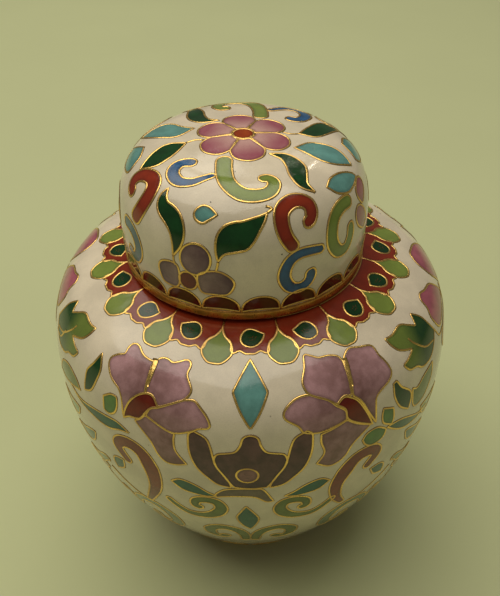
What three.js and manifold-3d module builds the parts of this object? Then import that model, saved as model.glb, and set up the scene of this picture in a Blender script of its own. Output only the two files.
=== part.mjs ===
// A lidded cloisonne ginger jar.
// Copper shells carry glass enamel outside and in, and the collar, the rims and the foot are gilt brass.
// Sizes are in millimetres. The origin is the middle of the foot's underside, +Z is up, and the front of
// the pattern faces -Y. Azimuths are in degrees from the front, positive towards +X.
import * as THREE from "three";
import { mergeVertices } from "three/addons/utils/BufferGeometryUtils.js";
import Module from "manifold-3d";

const wasm = await Module();
wasm.setup();

// ---- Driving dimensions ----

// Walls, from the outside in. Fused layers are kept apart by JOINT_GAP.
const ENAMEL_THICKNESS = 0.8;
const COPPER_THICKNESS = 0.8;
const LINING_THICKNESS = 0.5;
const JOINT_GAP = 0.1;
// Width of the slot that a cell wall of flat brass wire fills between two enamels.
const CELL_WALL = 0.35;

// Jar body: the outer face of its enamel.
const BODY_HEIGHT = 67.1; // from the table to the flat seat round the collar
const BELLY_RADIUS = 36.8;
const BELLY_HEIGHT = 48.5;
const SEAT_WIDTH = 1.45; // flat part of the shoulder beside the collar
const ANKLE_RADIUS = 21.0; // where the enamel ends above the foot
const FOOT_RADIUS = 19.4; // the foot stands in under the body
const FOOT_HEIGHT = 3.0;
const FOOT_WIDTH = 2.4; // across the ring that the jar stands on
const BASE_RECESS = 2.4; // from the table up to the enamel under the base

// How full the body's curves are, as shares of each curve's own width and height.
const SHOULDER_REACH = 0.636;
const SHOULDER_SLOPE = 0.14;
const SHOULDER_FULLNESS = 0.864;
const BELLY_FULLNESS = 0.446;
const ANKLE_REACH = 0.515;
const ANKLE_FULLNESS = 0.315;

// Collar: the upright neck that the lid drops over.
const COLLAR_RADIUS = 17.0;
const COLLAR_HEIGHT = 9.6; // above the seat, with its rolled rim
const COLLAR_WALL = 0.8;
const COLLAR_ROOT = 2.4; // how far the collar reaches down through the shoulder
const RIM_BEAD = 1.2; // height and thickness of the rolled mouth rim
const RIM_OVERHANG = 0.3;

// Lid.
const LID_HEIGHT = 21.65; // from the underside of its rim to the crown
const LID_PLAY = 1.75; // free radius between the collar and the lid's lining
const LID_RIM_HEIGHT = 1.7;
const LID_SEAT_GAP = 0.15; // the rim stands this far above the seat's highest line
const LID_CROWN_RADIUS = 12.0; // the gently domed middle of the lid
const LID_CROWN_RISE = 1.25;
const LID_SIDE_LEAN = 0.35; // how far the side's lower handle leans out
const LID_SHOULDER_LEAN = 1.4; // how far its upper handle leans out
const LID_SIDE_FULLNESS = 0.44;
const LID_SHOULDER_FULLNESS = 0.03;
const LID_SHIFT_X = -1.0; // the loose lid sits a little to one side of the collar

// Facets.
const SECTORS = 32;
const SHOULDER_STEPS = 5;
const BOWL_STEPS = 6;
const LID_STEPS = 7;

// Pattern.
const LOBES = 16;
const LID_PETALS = 6;
const LID_PETAL_TURN = 6; // azimuth of the first petal of the lid's flower
const CUT_REACH = 3.5; // how far a cell cutter stands out of the enamel on both sides

// ---- Sizes that follow ----

const WALL = ENAMEL_THICKNESS + COPPER_THICKNESS + LINING_THICKNESS + 2 * JOINT_GAP;
const COPPER_TOP = ENAMEL_THICKNESS + JOINT_GAP;
const COPPER_BOTTOM = COPPER_TOP + COPPER_THICKNESS;
const LINING_TOP = COPPER_BOTTOM + JOINT_GAP;
const SEAT_START = COLLAR_RADIUS + JOINT_GAP;
const LID_RADIUS = COLLAR_RADIUS + LID_PLAY + WALL;
const LID_BASE = BODY_HEIGHT + LID_SEAT_GAP;
const LID_ENAMEL_BASE = LID_BASE + LID_RIM_HEIGHT + JOINT_GAP;
const LID_TOP = LID_BASE + LID_HEIGHT;

// ---- Materials ----

const finish = (color, roughness, metalness) => new THREE.MeshStandardMaterial({ color, roughness, metalness });
const copper = finish(0xb06a45, 0.45, 1);
const gilt = finish(0xc39a52, 0.32, 1);
const whiteEnamel = finish(0xdcd6bd, 0.2, 0);
const blueEnamel = finish(0x2f6f93, 0.25, 0);
const redEnamel = finish(0x7a3020, 0.22, 0);
const lightGreenEnamel = finish(0x7a9a5a, 0.22, 0);
const turquoiseEnamel = finish(0x5fa3a0, 0.22, 0);
const lavenderEnamel = finish(0x96757a, 0.22, 0);
const pinkEnamel = finish(0xae7088, 0.22, 0);

// ---- Solids ----

// A closed three.js geometry as a manifold-3d solid.
function solidFrom(geometry) {
  const plain = geometry.clone();
  plain.deleteAttribute("normal");
  plain.deleteAttribute("uv");
  const merged = mergeVertices(plain, 1e-4);
  const mesh = new wasm.Mesh({
    numProp: 3,
    vertProperties: merged.attributes.position.array,
    triVerts: new Uint32Array(merged.index.array),
  });
  return new wasm.Manifold(mesh);
}

// A manifold-3d solid as a three.js geometry with flat facets.
function geometryFrom(solid) {
  const mesh = solid.getMesh();
  const geometry = new THREE.BufferGeometry();
  geometry.setAttribute("position", new THREE.BufferAttribute(mesh.vertProperties, 3));
  geometry.setIndex(new THREE.BufferAttribute(mesh.triVerts, 1));
  const flat = geometry.toNonIndexed();
  flat.computeVertexNormals();
  return flat;
}

// A closed profile of [radius, height] points turned round the Z axis.
function turned(profile) {
  const closed = [...profile, profile[0]].map(([radius, height]) => new THREE.Vector2(radius, height));
  if (THREE.ShapeUtils.area(closed) < 0) closed.reverse();
  return new THREE.LatheGeometry(closed, SECTORS).rotateX(Math.PI / 2);
}

function mesh(name, geometry, material) {
  const piece = new THREE.Mesh(geometry, material);
  piece.name = name;
  return piece;
}

// ---- Curved outer faces, as paths of (radius, height) ----

const point = (radius, height) => new THREE.Vector2(radius, height);

// From the collar over the shoulder and the belly down to the foot: a flat seat and two cubic curves.
function bodyFace() {
  const seatEnd = SEAT_START + SEAT_WIDTH;
  const shoulderWidth = BELLY_RADIUS - seatEnd;
  const shoulderHeight = BODY_HEIGHT - BELLY_HEIGHT;
  const ankleWidth = BELLY_RADIUS - ANKLE_RADIUS;
  const bowlHeight = BELLY_HEIGHT - FOOT_HEIGHT;
  const face = new THREE.CurvePath();
  face.add(new THREE.LineCurve(point(SEAT_START, BODY_HEIGHT), point(seatEnd, BODY_HEIGHT)));
  face.add(
    new THREE.CubicBezierCurve(
      point(seatEnd, BODY_HEIGHT),
      point(seatEnd + SHOULDER_REACH * shoulderWidth, BODY_HEIGHT - SHOULDER_SLOPE * shoulderHeight),
      point(BELLY_RADIUS, BELLY_HEIGHT + SHOULDER_FULLNESS * shoulderHeight),
      point(BELLY_RADIUS, BELLY_HEIGHT),
    ),
  );
  face.add(
    new THREE.CubicBezierCurve(
      point(BELLY_RADIUS, BELLY_HEIGHT),
      point(BELLY_RADIUS, BELLY_HEIGHT - BELLY_FULLNESS * bowlHeight),
      point(ANKLE_RADIUS + ANKLE_REACH * ankleWidth, FOOT_HEIGHT + ANKLE_FULLNESS * bowlHeight),
      point(ANKLE_RADIUS, FOOT_HEIGHT + JOINT_GAP),
    ),
  );
  return face;
}

// From the lid's rim up its side and over the crown to the axis: two cubic curves.
function lidFace() {
  const crownEdge = LID_TOP - LID_CROWN_RISE;
  const sideHeight = crownEdge - LID_ENAMEL_BASE;
  const face = new THREE.CurvePath();
  face.add(
    new THREE.CubicBezierCurve(
      point(LID_RADIUS, LID_ENAMEL_BASE),
      point(LID_RADIUS + LID_SIDE_LEAN, LID_ENAMEL_BASE + LID_SIDE_FULLNESS * sideHeight),
      point(LID_RADIUS + LID_SHOULDER_LEAN, crownEdge - LID_SHOULDER_FULLNESS * sideHeight),
      point(LID_CROWN_RADIUS, crownEdge),
    ),
  );
  face.add(
    new THREE.CubicBezierCurve(
      point(LID_CROWN_RADIUS, crownEdge),
      point(LID_CROWN_RADIUS * 0.7, LID_TOP - 0.6 * LID_CROWN_RISE),
      point(LID_CROWN_RADIUS * 0.4, LID_TOP),
      point(0, LID_TOP),
    ),
  );
  return face;
}

// The [radius, height] that lies a depth under a face, a share of the way along it. The outward
// direction is the path's own direction turned a quarter: to its left going down, to its right going up.
function under(face, share, depth) {
  const place = face.getPointAt(share);
  const along = face.getTangentAt(share);
  const side = face.goesUp ? 1 : -1;
  return [Math.max(0, place.x - side * along.y * depth), place.y + side * along.x * depth];
}

// Even steps between two shares, without the last one.
function evenShares(from, to, steps) {
  return Array.from({ length: steps }, (_, i) => from + ((to - from) * i) / steps);
}

// Points a depth under a face between two shares. Every layer of a face uses the face's own stations,
// so that the chords of two layers run side by side.
function contour(face, depth, from, to) {
  const margin = JOINT_GAP / face.getLength();
  const between = face.stations.filter((share) => share > from + margin && share < to - margin);
  return [from, ...between, to].map((share) => under(face, share, depth));
}

// The radius of a descending contour where it passes a height.
function radiusAt(points, height) {
  const next = points.findIndex(([, z]) => z <= height);
  if (next < 1) return points[points.length - 1][0];
  const [[r0, z0], [r1, z1]] = [points[next - 1], points[next]];
  return r0 + ((r1 - r0) * (z0 - height)) / (z0 - z1);
}

// The profile of a layer under a face, open at both ends.
function layer(face, top, bottom, from, to) {
  return [...contour(face, top, from, to), ...contour(face, bottom, from, to).reverse()];
}

// The profile of a bowl: a layer under the body's face, closed by a flat floor.
function bowl(face, top, bottom, from, floorLow, floorHigh) {
  const outer = contour(face, top, from, 1);
  const inner = contour(face, bottom, from, 1);
  return [
    ...outer.filter(([, z]) => z > floorLow),
    [radiusAt(outer, floorLow), floorLow],
    [0, floorLow],
    [0, floorHigh],
    [radiusAt(inner, floorHigh), floorHigh],
    ...inner.filter(([, z]) => z > floorHigh).reverse(),
  ];
}

// The share of the body's length at which its shoulder ends and its bowl begins.
function seamShare(face) {
  const [, shoulderEnd, total] = face.getCurveLengths();
  return shoulderEnd / total;
}

const body = bodyFace();
body.goesUp = false;
const seam = seamShare(body);
body.stations = [...evenShares(0, seam, SHOULDER_STEPS), ...evenShares(seam, 1, BOWL_STEPS)];
const dome = lidFace();
dome.goesUp = true;
dome.stations = evenShares(0, 1, LID_STEPS);

// ---- Enamel cells ----
// An outline is a list of [azimuth, share] points on a face.

// A leaf from a root to a tip. At t of the way its half width is sin(pi * t^peak), times slenderness
// times its length, so a peak under 1 puts its widest place near the root.
function leaf(face, root, tip, slenderness, peak = 1, steps = 4) {
  const flat = flatten(face, root);
  const [dx, dy] = flat.toPlane(tip);
  const length = Math.hypot(dx, dy);
  const side = (t, sign) => {
    const half = sign * slenderness * length * Math.sin(Math.PI * t ** peak);
    return flat.toFace([dx * t - (dy / length) * half, dy * t + (dx / length) * half]);
  };
  const inner = Array.from({ length: steps - 1 }, (_, i) => (i + 1) / steps);
  return [root, ...inner.map((t) => side(t, 1)), tip, ...inner.reverse().map((t) => side(t, -1))];
}

// A kite with its corners on one azimuth and on two shares.
function kite(azimuth, top, middle, bottom, halfWidth) {
  return [
    [azimuth, top],
    [azimuth + halfWidth, middle],
    [azimuth, bottom],
    [azimuth - halfWidth, middle],
  ];
}

// An oval with its half widths in degrees and in share.
function oval(azimuth, share, halfWidth, halfHeight, points = 8) {
  return Array.from({ length: points }, (_, i) => {
    const turn = (2 * Math.PI * i) / points;
    return [azimuth + halfWidth * Math.sin(turn), share - halfHeight * Math.cos(turn)];
  });
}

// A flat sheet laid on a face at an anchor: x runs to the right and y up, in millimetres.
function flatten(face, [azimuth, share]) {
  const radius = Math.max(under(face, share, 0)[0], 0.25 * LID_RADIUS);
  const perDegree = THREE.MathUtils.degToRad(radius);
  const perShare = face.getLength() * (face.goesUp ? 1 : -1);
  return {
    toPlane: ([a, s]) => [(a - azimuth) * perDegree, (s - share) * perShare],
    toFace: ([x, y]) => [azimuth + x / perDegree, share + y / perShare],
  };
}

// A flat outline grown outwards by a margin: each corner moves along the mean of its two edges' normals.
function grown(outline, margin) {
  const points = outline.map(([x, y]) => point(x, y));
  const turn = Math.sign(THREE.ShapeUtils.area(points));
  return points.map((here, i) => {
    const before = points[(i + points.length - 1) % points.length];
    const after = points[(i + 1) % points.length];
    const along = here.clone().sub(before).normalize().add(after.clone().sub(here).normalize());
    const reach = (2 * margin) / along.length() / along.length();
    return [here.x + turn * along.y * reach, here.y - turn * along.x * reach];
  });
}

// A closed prism through the enamel, with the outline grown by a margin.
function cutter(face, outline, margin) {
  const flat = flatten(face, outline[0]);
  const sheet = grown(outline.map(flat.toPlane), margin);
  if (THREE.ShapeUtils.area(sheet.map(([x, y]) => point(x, y))) < 0) sheet.reverse();
  const caps = THREE.ShapeUtils.triangulateShape(sheet.map(([x, y]) => point(x, y)), []);
  const positions = [-CUT_REACH, CUT_REACH].flatMap((depth) =>
    sheet.map(flat.toFace).flatMap(([azimuth, share]) => {
      const [radius, height] = under(face, share, depth);
      const turn = THREE.MathUtils.degToRad(azimuth);
      return [radius * Math.sin(turn), -radius * Math.cos(turn), height];
    }),
  );
  const count = sheet.length;
  const walls = sheet.flatMap((_, i) => {
    const next = (i + 1) % count;
    return [i, count + i, next, next, count + i, count + next];
  });
  const outerCap = caps.flat();
  const innerCap = caps.flatMap(([a, b, c]) => [count + a, count + c, count + b]);
  const geometry = new THREE.BufferGeometry();
  geometry.setAttribute("position", new THREE.Float32BufferAttribute(positions, 3));
  geometry.setIndex([...outerCap, ...innerCap, ...walls]);
  return solidFrom(geometry);
}

// Cuts each cell's enamel out of the ground, a cell wall's width smaller than its pocket.
// Gives the ground that is left and one mesh for each cell.
function inlay(ground, face, cells) {
  let left = ground;
  const pieces = cells.map(({ name, outline, material }) => {
    const enamel = ground.intersect(cutter(face, outline, -CELL_WALL / 2));
    left = left.subtract(cutter(face, outline, CELL_WALL / 2));
    return mesh(name, geometryFrom(enamel), material);
  });
  return { left, pieces };
}

// ---- The pattern ----

const twoDigits = (number) => String(number).padStart(2, "0");

// Light green lobes, one between each two red lappets.
function shoulderLobes() {
  return Array.from({ length: LOBES }, (_, i) => ({
    name: "shoulder_lobe_" + twoDigits(i + 1),
    material: lightGreenEnamel,
    outline: oval(((i + 0.5) * 360) / LOBES, 0.116, 5.6, 0.031),
  }));
}

// The lotus, the two kites and the two big flowers of one side of the body.
function bodySide(side, turn) {
  const at = ([azimuth, share]) => [azimuth + turn, share];
  const cell = (name, material, outline) => ({ name: side + "_" + name, material, outline: outline.map(at) });
  const flower = (hand, mirror) => [
    cell(hand + "_outer_petal", lavenderEnamel, leaf(body, [mirror * 29, 0.24], [mirror * 41, 0.165], 0.3, 0.9)),
    cell(hand + "_inner_petal", lavenderEnamel, leaf(body, [mirror * 27, 0.24], [mirror * 16, 0.165], 0.3, 0.9)),
    cell(hand + "_lower_petal", lavenderEnamel, leaf(body, [mirror * 26, 0.31], [mirror * 19, 0.385], 0.38, 0.9)),
  ];
  return [
    cell("upper_kite", turquoiseEnamel, kite(0, 0.148, 0.2, 0.275, 4.7)),
    cell("lower_kite", turquoiseEnamel, kite(-0.5, 0.505, 0.575, 0.635, 3.3)),
    cell("lotus_middle", lavenderEnamel, leaf(body, [0, 0.425], [0, 0.3], 0.42, 0.75)),
    cell("lotus_left", lavenderEnamel, leaf(body, [-8, 0.428], [-14.5, 0.295], 0.16, 0.9)),
    cell("lotus_right", lavenderEnamel, leaf(body, [8, 0.428], [14.5, 0.295], 0.16, 0.9)),
    ...flower("left", -1),
    ...flower("right", 1),
  ];
}

// The six petals of the lid's flower, as leaves round the crown.
function lidFlower() {
  return Array.from({ length: LID_PETALS }, (_, i) => {
    const azimuth = LID_PETAL_TURN + (i * 360) / LID_PETALS;
    return {
      name: "lid_petal_" + (i + 1),
      material: pinkEnamel,
      outline: leaf(dome, [azimuth, 0.9], [azimuth, 0.77], 0.36, 0.85),
    };
  });
}

// The two turquoise kites beside the lid's flower.
function lidKites() {
  return [75, 255].map((azimuth, i) => ({
    name: "lid_kite_" + (i + 1),
    material: turquoiseEnamel,
    outline: leaf(dome, [azimuth, 0.74], [azimuth, 0.52], 0.22, 0.8),
  }));
}

// ---- The jar ----

// The shoulder's red band reaches this share of the way to the foot, in even scallops of this depth.
const BAND_EDGE = 0.112;
const BAND_SCALLOP = 0.012;
const SCALLOP_POINTS = 4;

// A prism round the axis whose wall follows the band's scalloped edge, moved outwards by a margin.
function bandPrism(margin) {
  const count = LOBES * SCALLOP_POINTS;
  const shape = new THREE.Shape(
    Array.from({ length: count }, (_, i) => {
      const turn = (2 * Math.PI * i) / count;
      const share = BAND_EDGE - BAND_SCALLOP * Math.cos(LOBES * turn);
      const radius = under(body, share, 0)[0] + margin;
      return point(radius * Math.sin(turn), -radius * Math.cos(turn));
    }),
  );
  const depth = 2 * CUT_REACH + BODY_HEIGHT - BELLY_HEIGHT;
  const prism = new THREE.ExtrudeGeometry(shape, { depth, bevelEnabled: false });
  return solidFrom(prism.translate(0, 0, BELLY_HEIGHT));
}

// The jar's enamel: the white ground, the red band round the collar and every cell of the pattern.
function jarEnamel() {
  const skin = solidFrom(turned(layer(body, 0, ENAMEL_THICKNESS, 0, 1)));
  const band = skin.intersect(bandPrism(-CELL_WALL / 2));
  const field = skin.subtract(bandPrism(CELL_WALL / 2));
  const lobes = shoulderLobes();
  const lobePieces = inlay(skin, body, lobes).pieces;
  const lobePocket = lobes.map(({ outline }) => cutter(body, outline, CELL_WALL / 2));
  const redBand = lobePocket.reduce((solid, pocket) => solid.subtract(pocket), band);
  const whiteField = lobePocket.reduce((solid, pocket) => solid.subtract(pocket), field);
  const sides = inlay(whiteField, body, [...bodySide("front", 0), ...bodySide("back", 180)]);
  return [
    mesh("jar_ground", geometryFrom(sides.left), whiteEnamel),
    mesh("shoulder_band", geometryFrom(redBand), redEnamel),
    ...lobePieces,
    ...sides.pieces,
  ];
}

// The two copper halves meet at the belly, where they are brazed together.
function jarShells() {
  const gap = JOINT_GAP / body.getLength();
  const floor = FOOT_HEIGHT + JOINT_GAP;
  const upper = layer(body, COPPER_TOP, COPPER_BOTTOM, 0, seam - gap);
  const lower = bowl(body, COPPER_TOP, COPPER_BOTTOM, seam + gap, floor, floor + COPPER_THICKNESS);
  return [mesh("upper_shell", turned(upper), copper), mesh("lower_shell", turned(lower), copper)];
}

// The enamel inside the jar, from the collar down over the floor.
function jarLining() {
  const floor = FOOT_HEIGHT + COPPER_THICKNESS + 2 * JOINT_GAP;
  const profile = bowl(body, LINING_TOP, WALL, 0, floor, floor + LINING_THICKNESS);
  return mesh("jar_lining", turned(profile), blueEnamel);
}

function neckCollar() {
  const top = BODY_HEIGHT + COLLAR_HEIGHT - RIM_BEAD - JOINT_GAP;
  const bottom = BODY_HEIGHT - COLLAR_ROOT;
  const inner = COLLAR_RADIUS - COLLAR_WALL;
  const profile = [
    [COLLAR_RADIUS, bottom],
    [COLLAR_RADIUS, top],
    [inner, top],
    [inner, bottom],
  ];
  return mesh("neck_collar", turned(profile), gilt);
}

// A bead of six sides on the collar's top edge.
function mouthRim() {
  const outer = COLLAR_RADIUS + RIM_OVERHANG;
  const inner = COLLAR_RADIUS - COLLAR_WALL - RIM_OVERHANG;
  const top = BODY_HEIGHT + COLLAR_HEIGHT;
  const quarter = RIM_BEAD / 4;
  const profile = [
    [outer - quarter, top - RIM_BEAD],
    [outer, top - RIM_BEAD / 2],
    [outer - quarter, top],
    [inner + quarter, top],
    [inner, top - RIM_BEAD / 2],
    [inner + quarter, top - RIM_BEAD],
  ];
  return mesh("mouth_rim", turned(profile), gilt);
}

function footRing() {
  const chamfer = 0.4;
  const inner = FOOT_RADIUS - FOOT_WIDTH;
  const profile = [
    [FOOT_RADIUS - chamfer, 0],
    [FOOT_RADIUS, chamfer],
    [FOOT_RADIUS, FOOT_HEIGHT],
    [inner, FOOT_HEIGHT],
    [inner, 0],
  ];
  return mesh("foot_ring", turned(profile), gilt);
}

// The enamel under the base, inside the foot ring.
function baseEnamel() {
  const radius = FOOT_RADIUS - FOOT_WIDTH - JOINT_GAP;
  const profile = [
    [0, BASE_RECESS],
    [radius, BASE_RECESS],
    [radius, FOOT_HEIGHT],
    [0, FOOT_HEIGHT],
  ];
  return mesh("base_enamel", turned(profile), blueEnamel);
}

// ---- The lid ----

function lidEnamel() {
  const skin = solidFrom(turned(layer(dome, 0, ENAMEL_THICKNESS, 0, 1)));
  const cells = inlay(skin, dome, [...lidFlower(), ...lidKites()]);
  return [mesh("lid_ground", geometryFrom(cells.left), whiteEnamel), ...cells.pieces];
}

// The rolled rim, the copper dome, its lining, and the enamel with its inlaid cells.
function lidParts() {
  const innerRadius = LID_RADIUS - WALL;
  const rim = [
    [innerRadius, LID_BASE],
    [LID_RADIUS, LID_BASE],
    [LID_RADIUS, LID_BASE + LID_RIM_HEIGHT],
    [innerRadius, LID_BASE + LID_RIM_HEIGHT],
  ];
  return [
    mesh("lid_rim", turned(rim), gilt),
    mesh("lid_shell", turned(layer(dome, COPPER_TOP, COPPER_BOTTOM, 0, 1)), copper),
    mesh("lid_lining", turned(layer(dome, LINING_TOP, WALL, 0, 1)), blueEnamel),
    ...lidEnamel(),
  ];
}

// ---- The object ----

const jar = new THREE.Group();
jar.add(...jarShells(), jarLining(), neckCollar(), mouthRim(), footRing(), baseEnamel(), ...jarEnamel());

const lid = new THREE.Group();
lid.add(...lidParts());
lid.position.x = LID_SHIFT_X;

const gingerJar = new THREE.Group();
gingerJar.add(jar, lid);

export default gingerJar;
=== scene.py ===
"""Looks of a small lidded cloisonne ginger jar.

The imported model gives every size. This file lays smooth turned surfaces over it, draws the enamel cells and
the brass cell wires on them, gives each its finish, and sets the stage.
"""

import math

import bmesh
import bpy
import numpy as np
from mathutils import Matrix, Vector


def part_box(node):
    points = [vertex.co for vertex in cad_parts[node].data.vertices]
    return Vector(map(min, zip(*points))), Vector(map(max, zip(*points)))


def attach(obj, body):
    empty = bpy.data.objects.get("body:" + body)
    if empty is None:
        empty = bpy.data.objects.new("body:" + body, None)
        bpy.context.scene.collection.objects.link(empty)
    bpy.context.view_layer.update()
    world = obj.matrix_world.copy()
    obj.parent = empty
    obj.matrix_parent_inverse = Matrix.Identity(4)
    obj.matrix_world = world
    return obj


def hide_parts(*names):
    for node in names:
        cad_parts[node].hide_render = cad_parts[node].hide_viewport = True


bl_info = {
    "name": "Cloisonne ginger jar",
    "version": (1, 0, 0),
    "blender": (4, 5, 0),
    "location": "View3D > Sidebar > Ginger jar",
    "description": "Builds the enamel, the wires and the gilt parts of a lidded ginger jar round its frame",
    "category": "Add Mesh",
}

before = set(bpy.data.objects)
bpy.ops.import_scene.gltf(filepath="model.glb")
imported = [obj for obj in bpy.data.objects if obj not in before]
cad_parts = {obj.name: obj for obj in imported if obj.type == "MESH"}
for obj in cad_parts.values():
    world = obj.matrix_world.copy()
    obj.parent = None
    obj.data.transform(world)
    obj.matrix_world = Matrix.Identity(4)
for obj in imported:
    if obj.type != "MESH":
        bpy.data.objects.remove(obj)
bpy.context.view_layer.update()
MM = 0.001


# ----------------------------------------
# Sizes taken from the frame, in millimetres
# ----------------------------------------


def low(node):
    """The lowest corner of a node, in millimetres."""
    return np.array(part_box(node)[0]) / MM


def high(node):
    """The highest corner of a node, in millimetres."""
    return np.array(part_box(node)[1]) / MM


ENAMEL = 0.8
COPPER = 0.8
LINING = 0.5
GAP = 0.1
COPPER_TOP = ENAMEL + GAP
LINING_TOP = COPPER_TOP + COPPER + GAP
WALL = LINING_TOP + LINING

BODY_TOP = high("shoulder_band")[2]
BELLY_RADIUS = high("jar_ground")[0]
BELLY_HEIGHT = low("upper_shell")[2] - GAP
FOOT_RADIUS = high("foot_ring")[0]
FOOT_HEIGHT = high("foot_ring")[2]
FOOT_WIDTH = 2.4
FOOT_LEAN = 0.25
ANKLE_RADIUS = 21.0
BASE_RADIUS = high("base_enamel")[0]
BASE_LOW = low("base_enamel")[2]
COLLAR_RADIUS = high("neck_collar")[0]
COLLAR_WALL = 0.8
COLLAR_LOW = low("neck_collar")[2]
RIM_TOP = high("mouth_rim")[2]
RIM_LOW = low("mouth_rim")[2]
RIM_OUTER = high("mouth_rim")[0]
SEAT_START = COLLAR_RADIUS + GAP
SEAT_WIDTH = 1.45
SEAT_END = SEAT_START + SEAT_WIDTH
LID_SHIFT = 0.5 * (high("lid_rim")[0] + low("lid_rim")[0])
LID_RADIUS = high("lid_rim")[1]
LID_LOW = low("lid_rim")[2]
LID_RIM_TOP = high("lid_rim")[2]
LID_ENAMEL_LOW = low("lid_ground")[2]
LID_TOP = high("lid_ground")[2]
LID_RIM_PROUD = 0.1
RING_ROUNDING = 0.45
CROWN_RADIUS = 12.0
CROWN_RISE = 1.25

# How full the curves are, as shares of each curve's own width and height.
SHOULDER_REACH = 0.636
SHOULDER_SLOPE = 0.14
SHOULDER_FULLNESS = 0.864
BELLY_FULLNESS = 0.446
ANKLE_REACH = 0.515
ANKLE_FULLNESS = 0.315
LID_SIDE_LEAN = 0.35
LID_SHOULDER_LEAN = 1.4
LID_SIDE_FULLNESS = 0.44
LID_SHOULDER_FULLNESS = 0.03

# The body pattern's run is counted from this radius on the shoulder.
PATTERN_START = 19.8

# Spacing of the points along a turned profile.
PROFILE_STEP = 0.8
GROUND_STEP = 0.5


# ----------------------------------------
# Curves and turned faces
# ----------------------------------------


def cubic(corners, count=160):
    """Points of a cubic Bezier curve: the four corners weighted by (1-t)^3, 3t(1-t)^2, 3t^2(1-t) and t^3."""
    t = np.linspace(0, 1, count)[:, None]
    a, b, c, d = np.array(corners, float)
    return (1 - t) ** 3 * a + 3 * t * (1 - t) ** 2 * b + 3 * t * t * (1 - t) * c + t**3 * d


def chained(*curves):
    """Curves joined end to end, each one's first point left out after the first curve."""
    return np.vstack([curves[0]] + [curve[1:] for curve in curves[1:]])


def body_path():
    """(radius, height) of the body's enamel from the collar to the foot: a flat seat and two cubic curves."""
    width = BELLY_RADIUS - SEAT_END
    rise = BODY_TOP - BELLY_HEIGHT
    ankle = BELLY_RADIUS - ANKLE_RADIUS
    bowl = BELLY_HEIGHT - FOOT_HEIGHT
    seat = np.linspace((SEAT_START, BODY_TOP), (SEAT_END, BODY_TOP), 8)
    shoulder = cubic(
        [
            (SEAT_END, BODY_TOP),
            (SEAT_END + SHOULDER_REACH * width, BODY_TOP - SHOULDER_SLOPE * rise),
            (BELLY_RADIUS, BELLY_HEIGHT + SHOULDER_FULLNESS * rise),
            (BELLY_RADIUS, BELLY_HEIGHT),
        ]
    )
    lower = cubic(
        [
            (BELLY_RADIUS, BELLY_HEIGHT),
            (BELLY_RADIUS, BELLY_HEIGHT - BELLY_FULLNESS * bowl),
            (ANKLE_RADIUS + ANKLE_REACH * ankle, FOOT_HEIGHT + ANKLE_FULLNESS * bowl),
            (ANKLE_RADIUS, FOOT_HEIGHT + GAP),
        ]
    )
    return chained(seat, shoulder, lower)


def lid_path():
    """(radius, height) of the lid's enamel from the crown's middle down to the rim: two cubic curves."""
    crown = LID_TOP - CROWN_RISE
    side = crown - LID_ENAMEL_LOW
    top = cubic(
        [
            (0, LID_TOP),
            (0.4 * CROWN_RADIUS, LID_TOP),
            (0.7 * CROWN_RADIUS, LID_TOP - 0.6 * CROWN_RISE),
            (CROWN_RADIUS, crown),
        ]
    )
    wall = cubic(
        [
            (CROWN_RADIUS, crown),
            (LID_RADIUS + LID_SHOULDER_LEAN, crown - LID_SHOULDER_FULLNESS * side),
            (LID_RADIUS + LID_SIDE_LEAN, LID_ENAMEL_LOW + LID_SIDE_FULLNESS * side),
            (LID_RADIUS, LID_ENAMEL_LOW),
        ]
    )
    return chained(top, wall)


def runs_along(path):
    """Length along a path up to each of its points."""
    return np.concatenate([[0], np.cumsum(np.hypot(*np.diff(path, axis=0).T))])


def sunk(path, depth):
    """A path moved inwards by a depth: each point goes against the path's normal, which lies a quarter turn
    from its run."""
    along = np.gradient(path, axis=0)
    along /= np.linalg.norm(along, axis=1)[:, None]
    inner = path - depth * np.stack([-along[:, 1], along[:, 0]], axis=1)
    inner[:, 0] = np.maximum(inner[:, 0], 0)
    return inner


def thinned(path, step):
    """A path with its points spaced evenly, about a step apart."""
    runs = runs_along(path)
    even = np.linspace(0, runs[-1], max(2, int(runs[-1] / step) + 1))
    return np.stack([np.interp(even, runs, path[:, 0]), np.interp(even, runs, path[:, 1])], axis=1)


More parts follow.
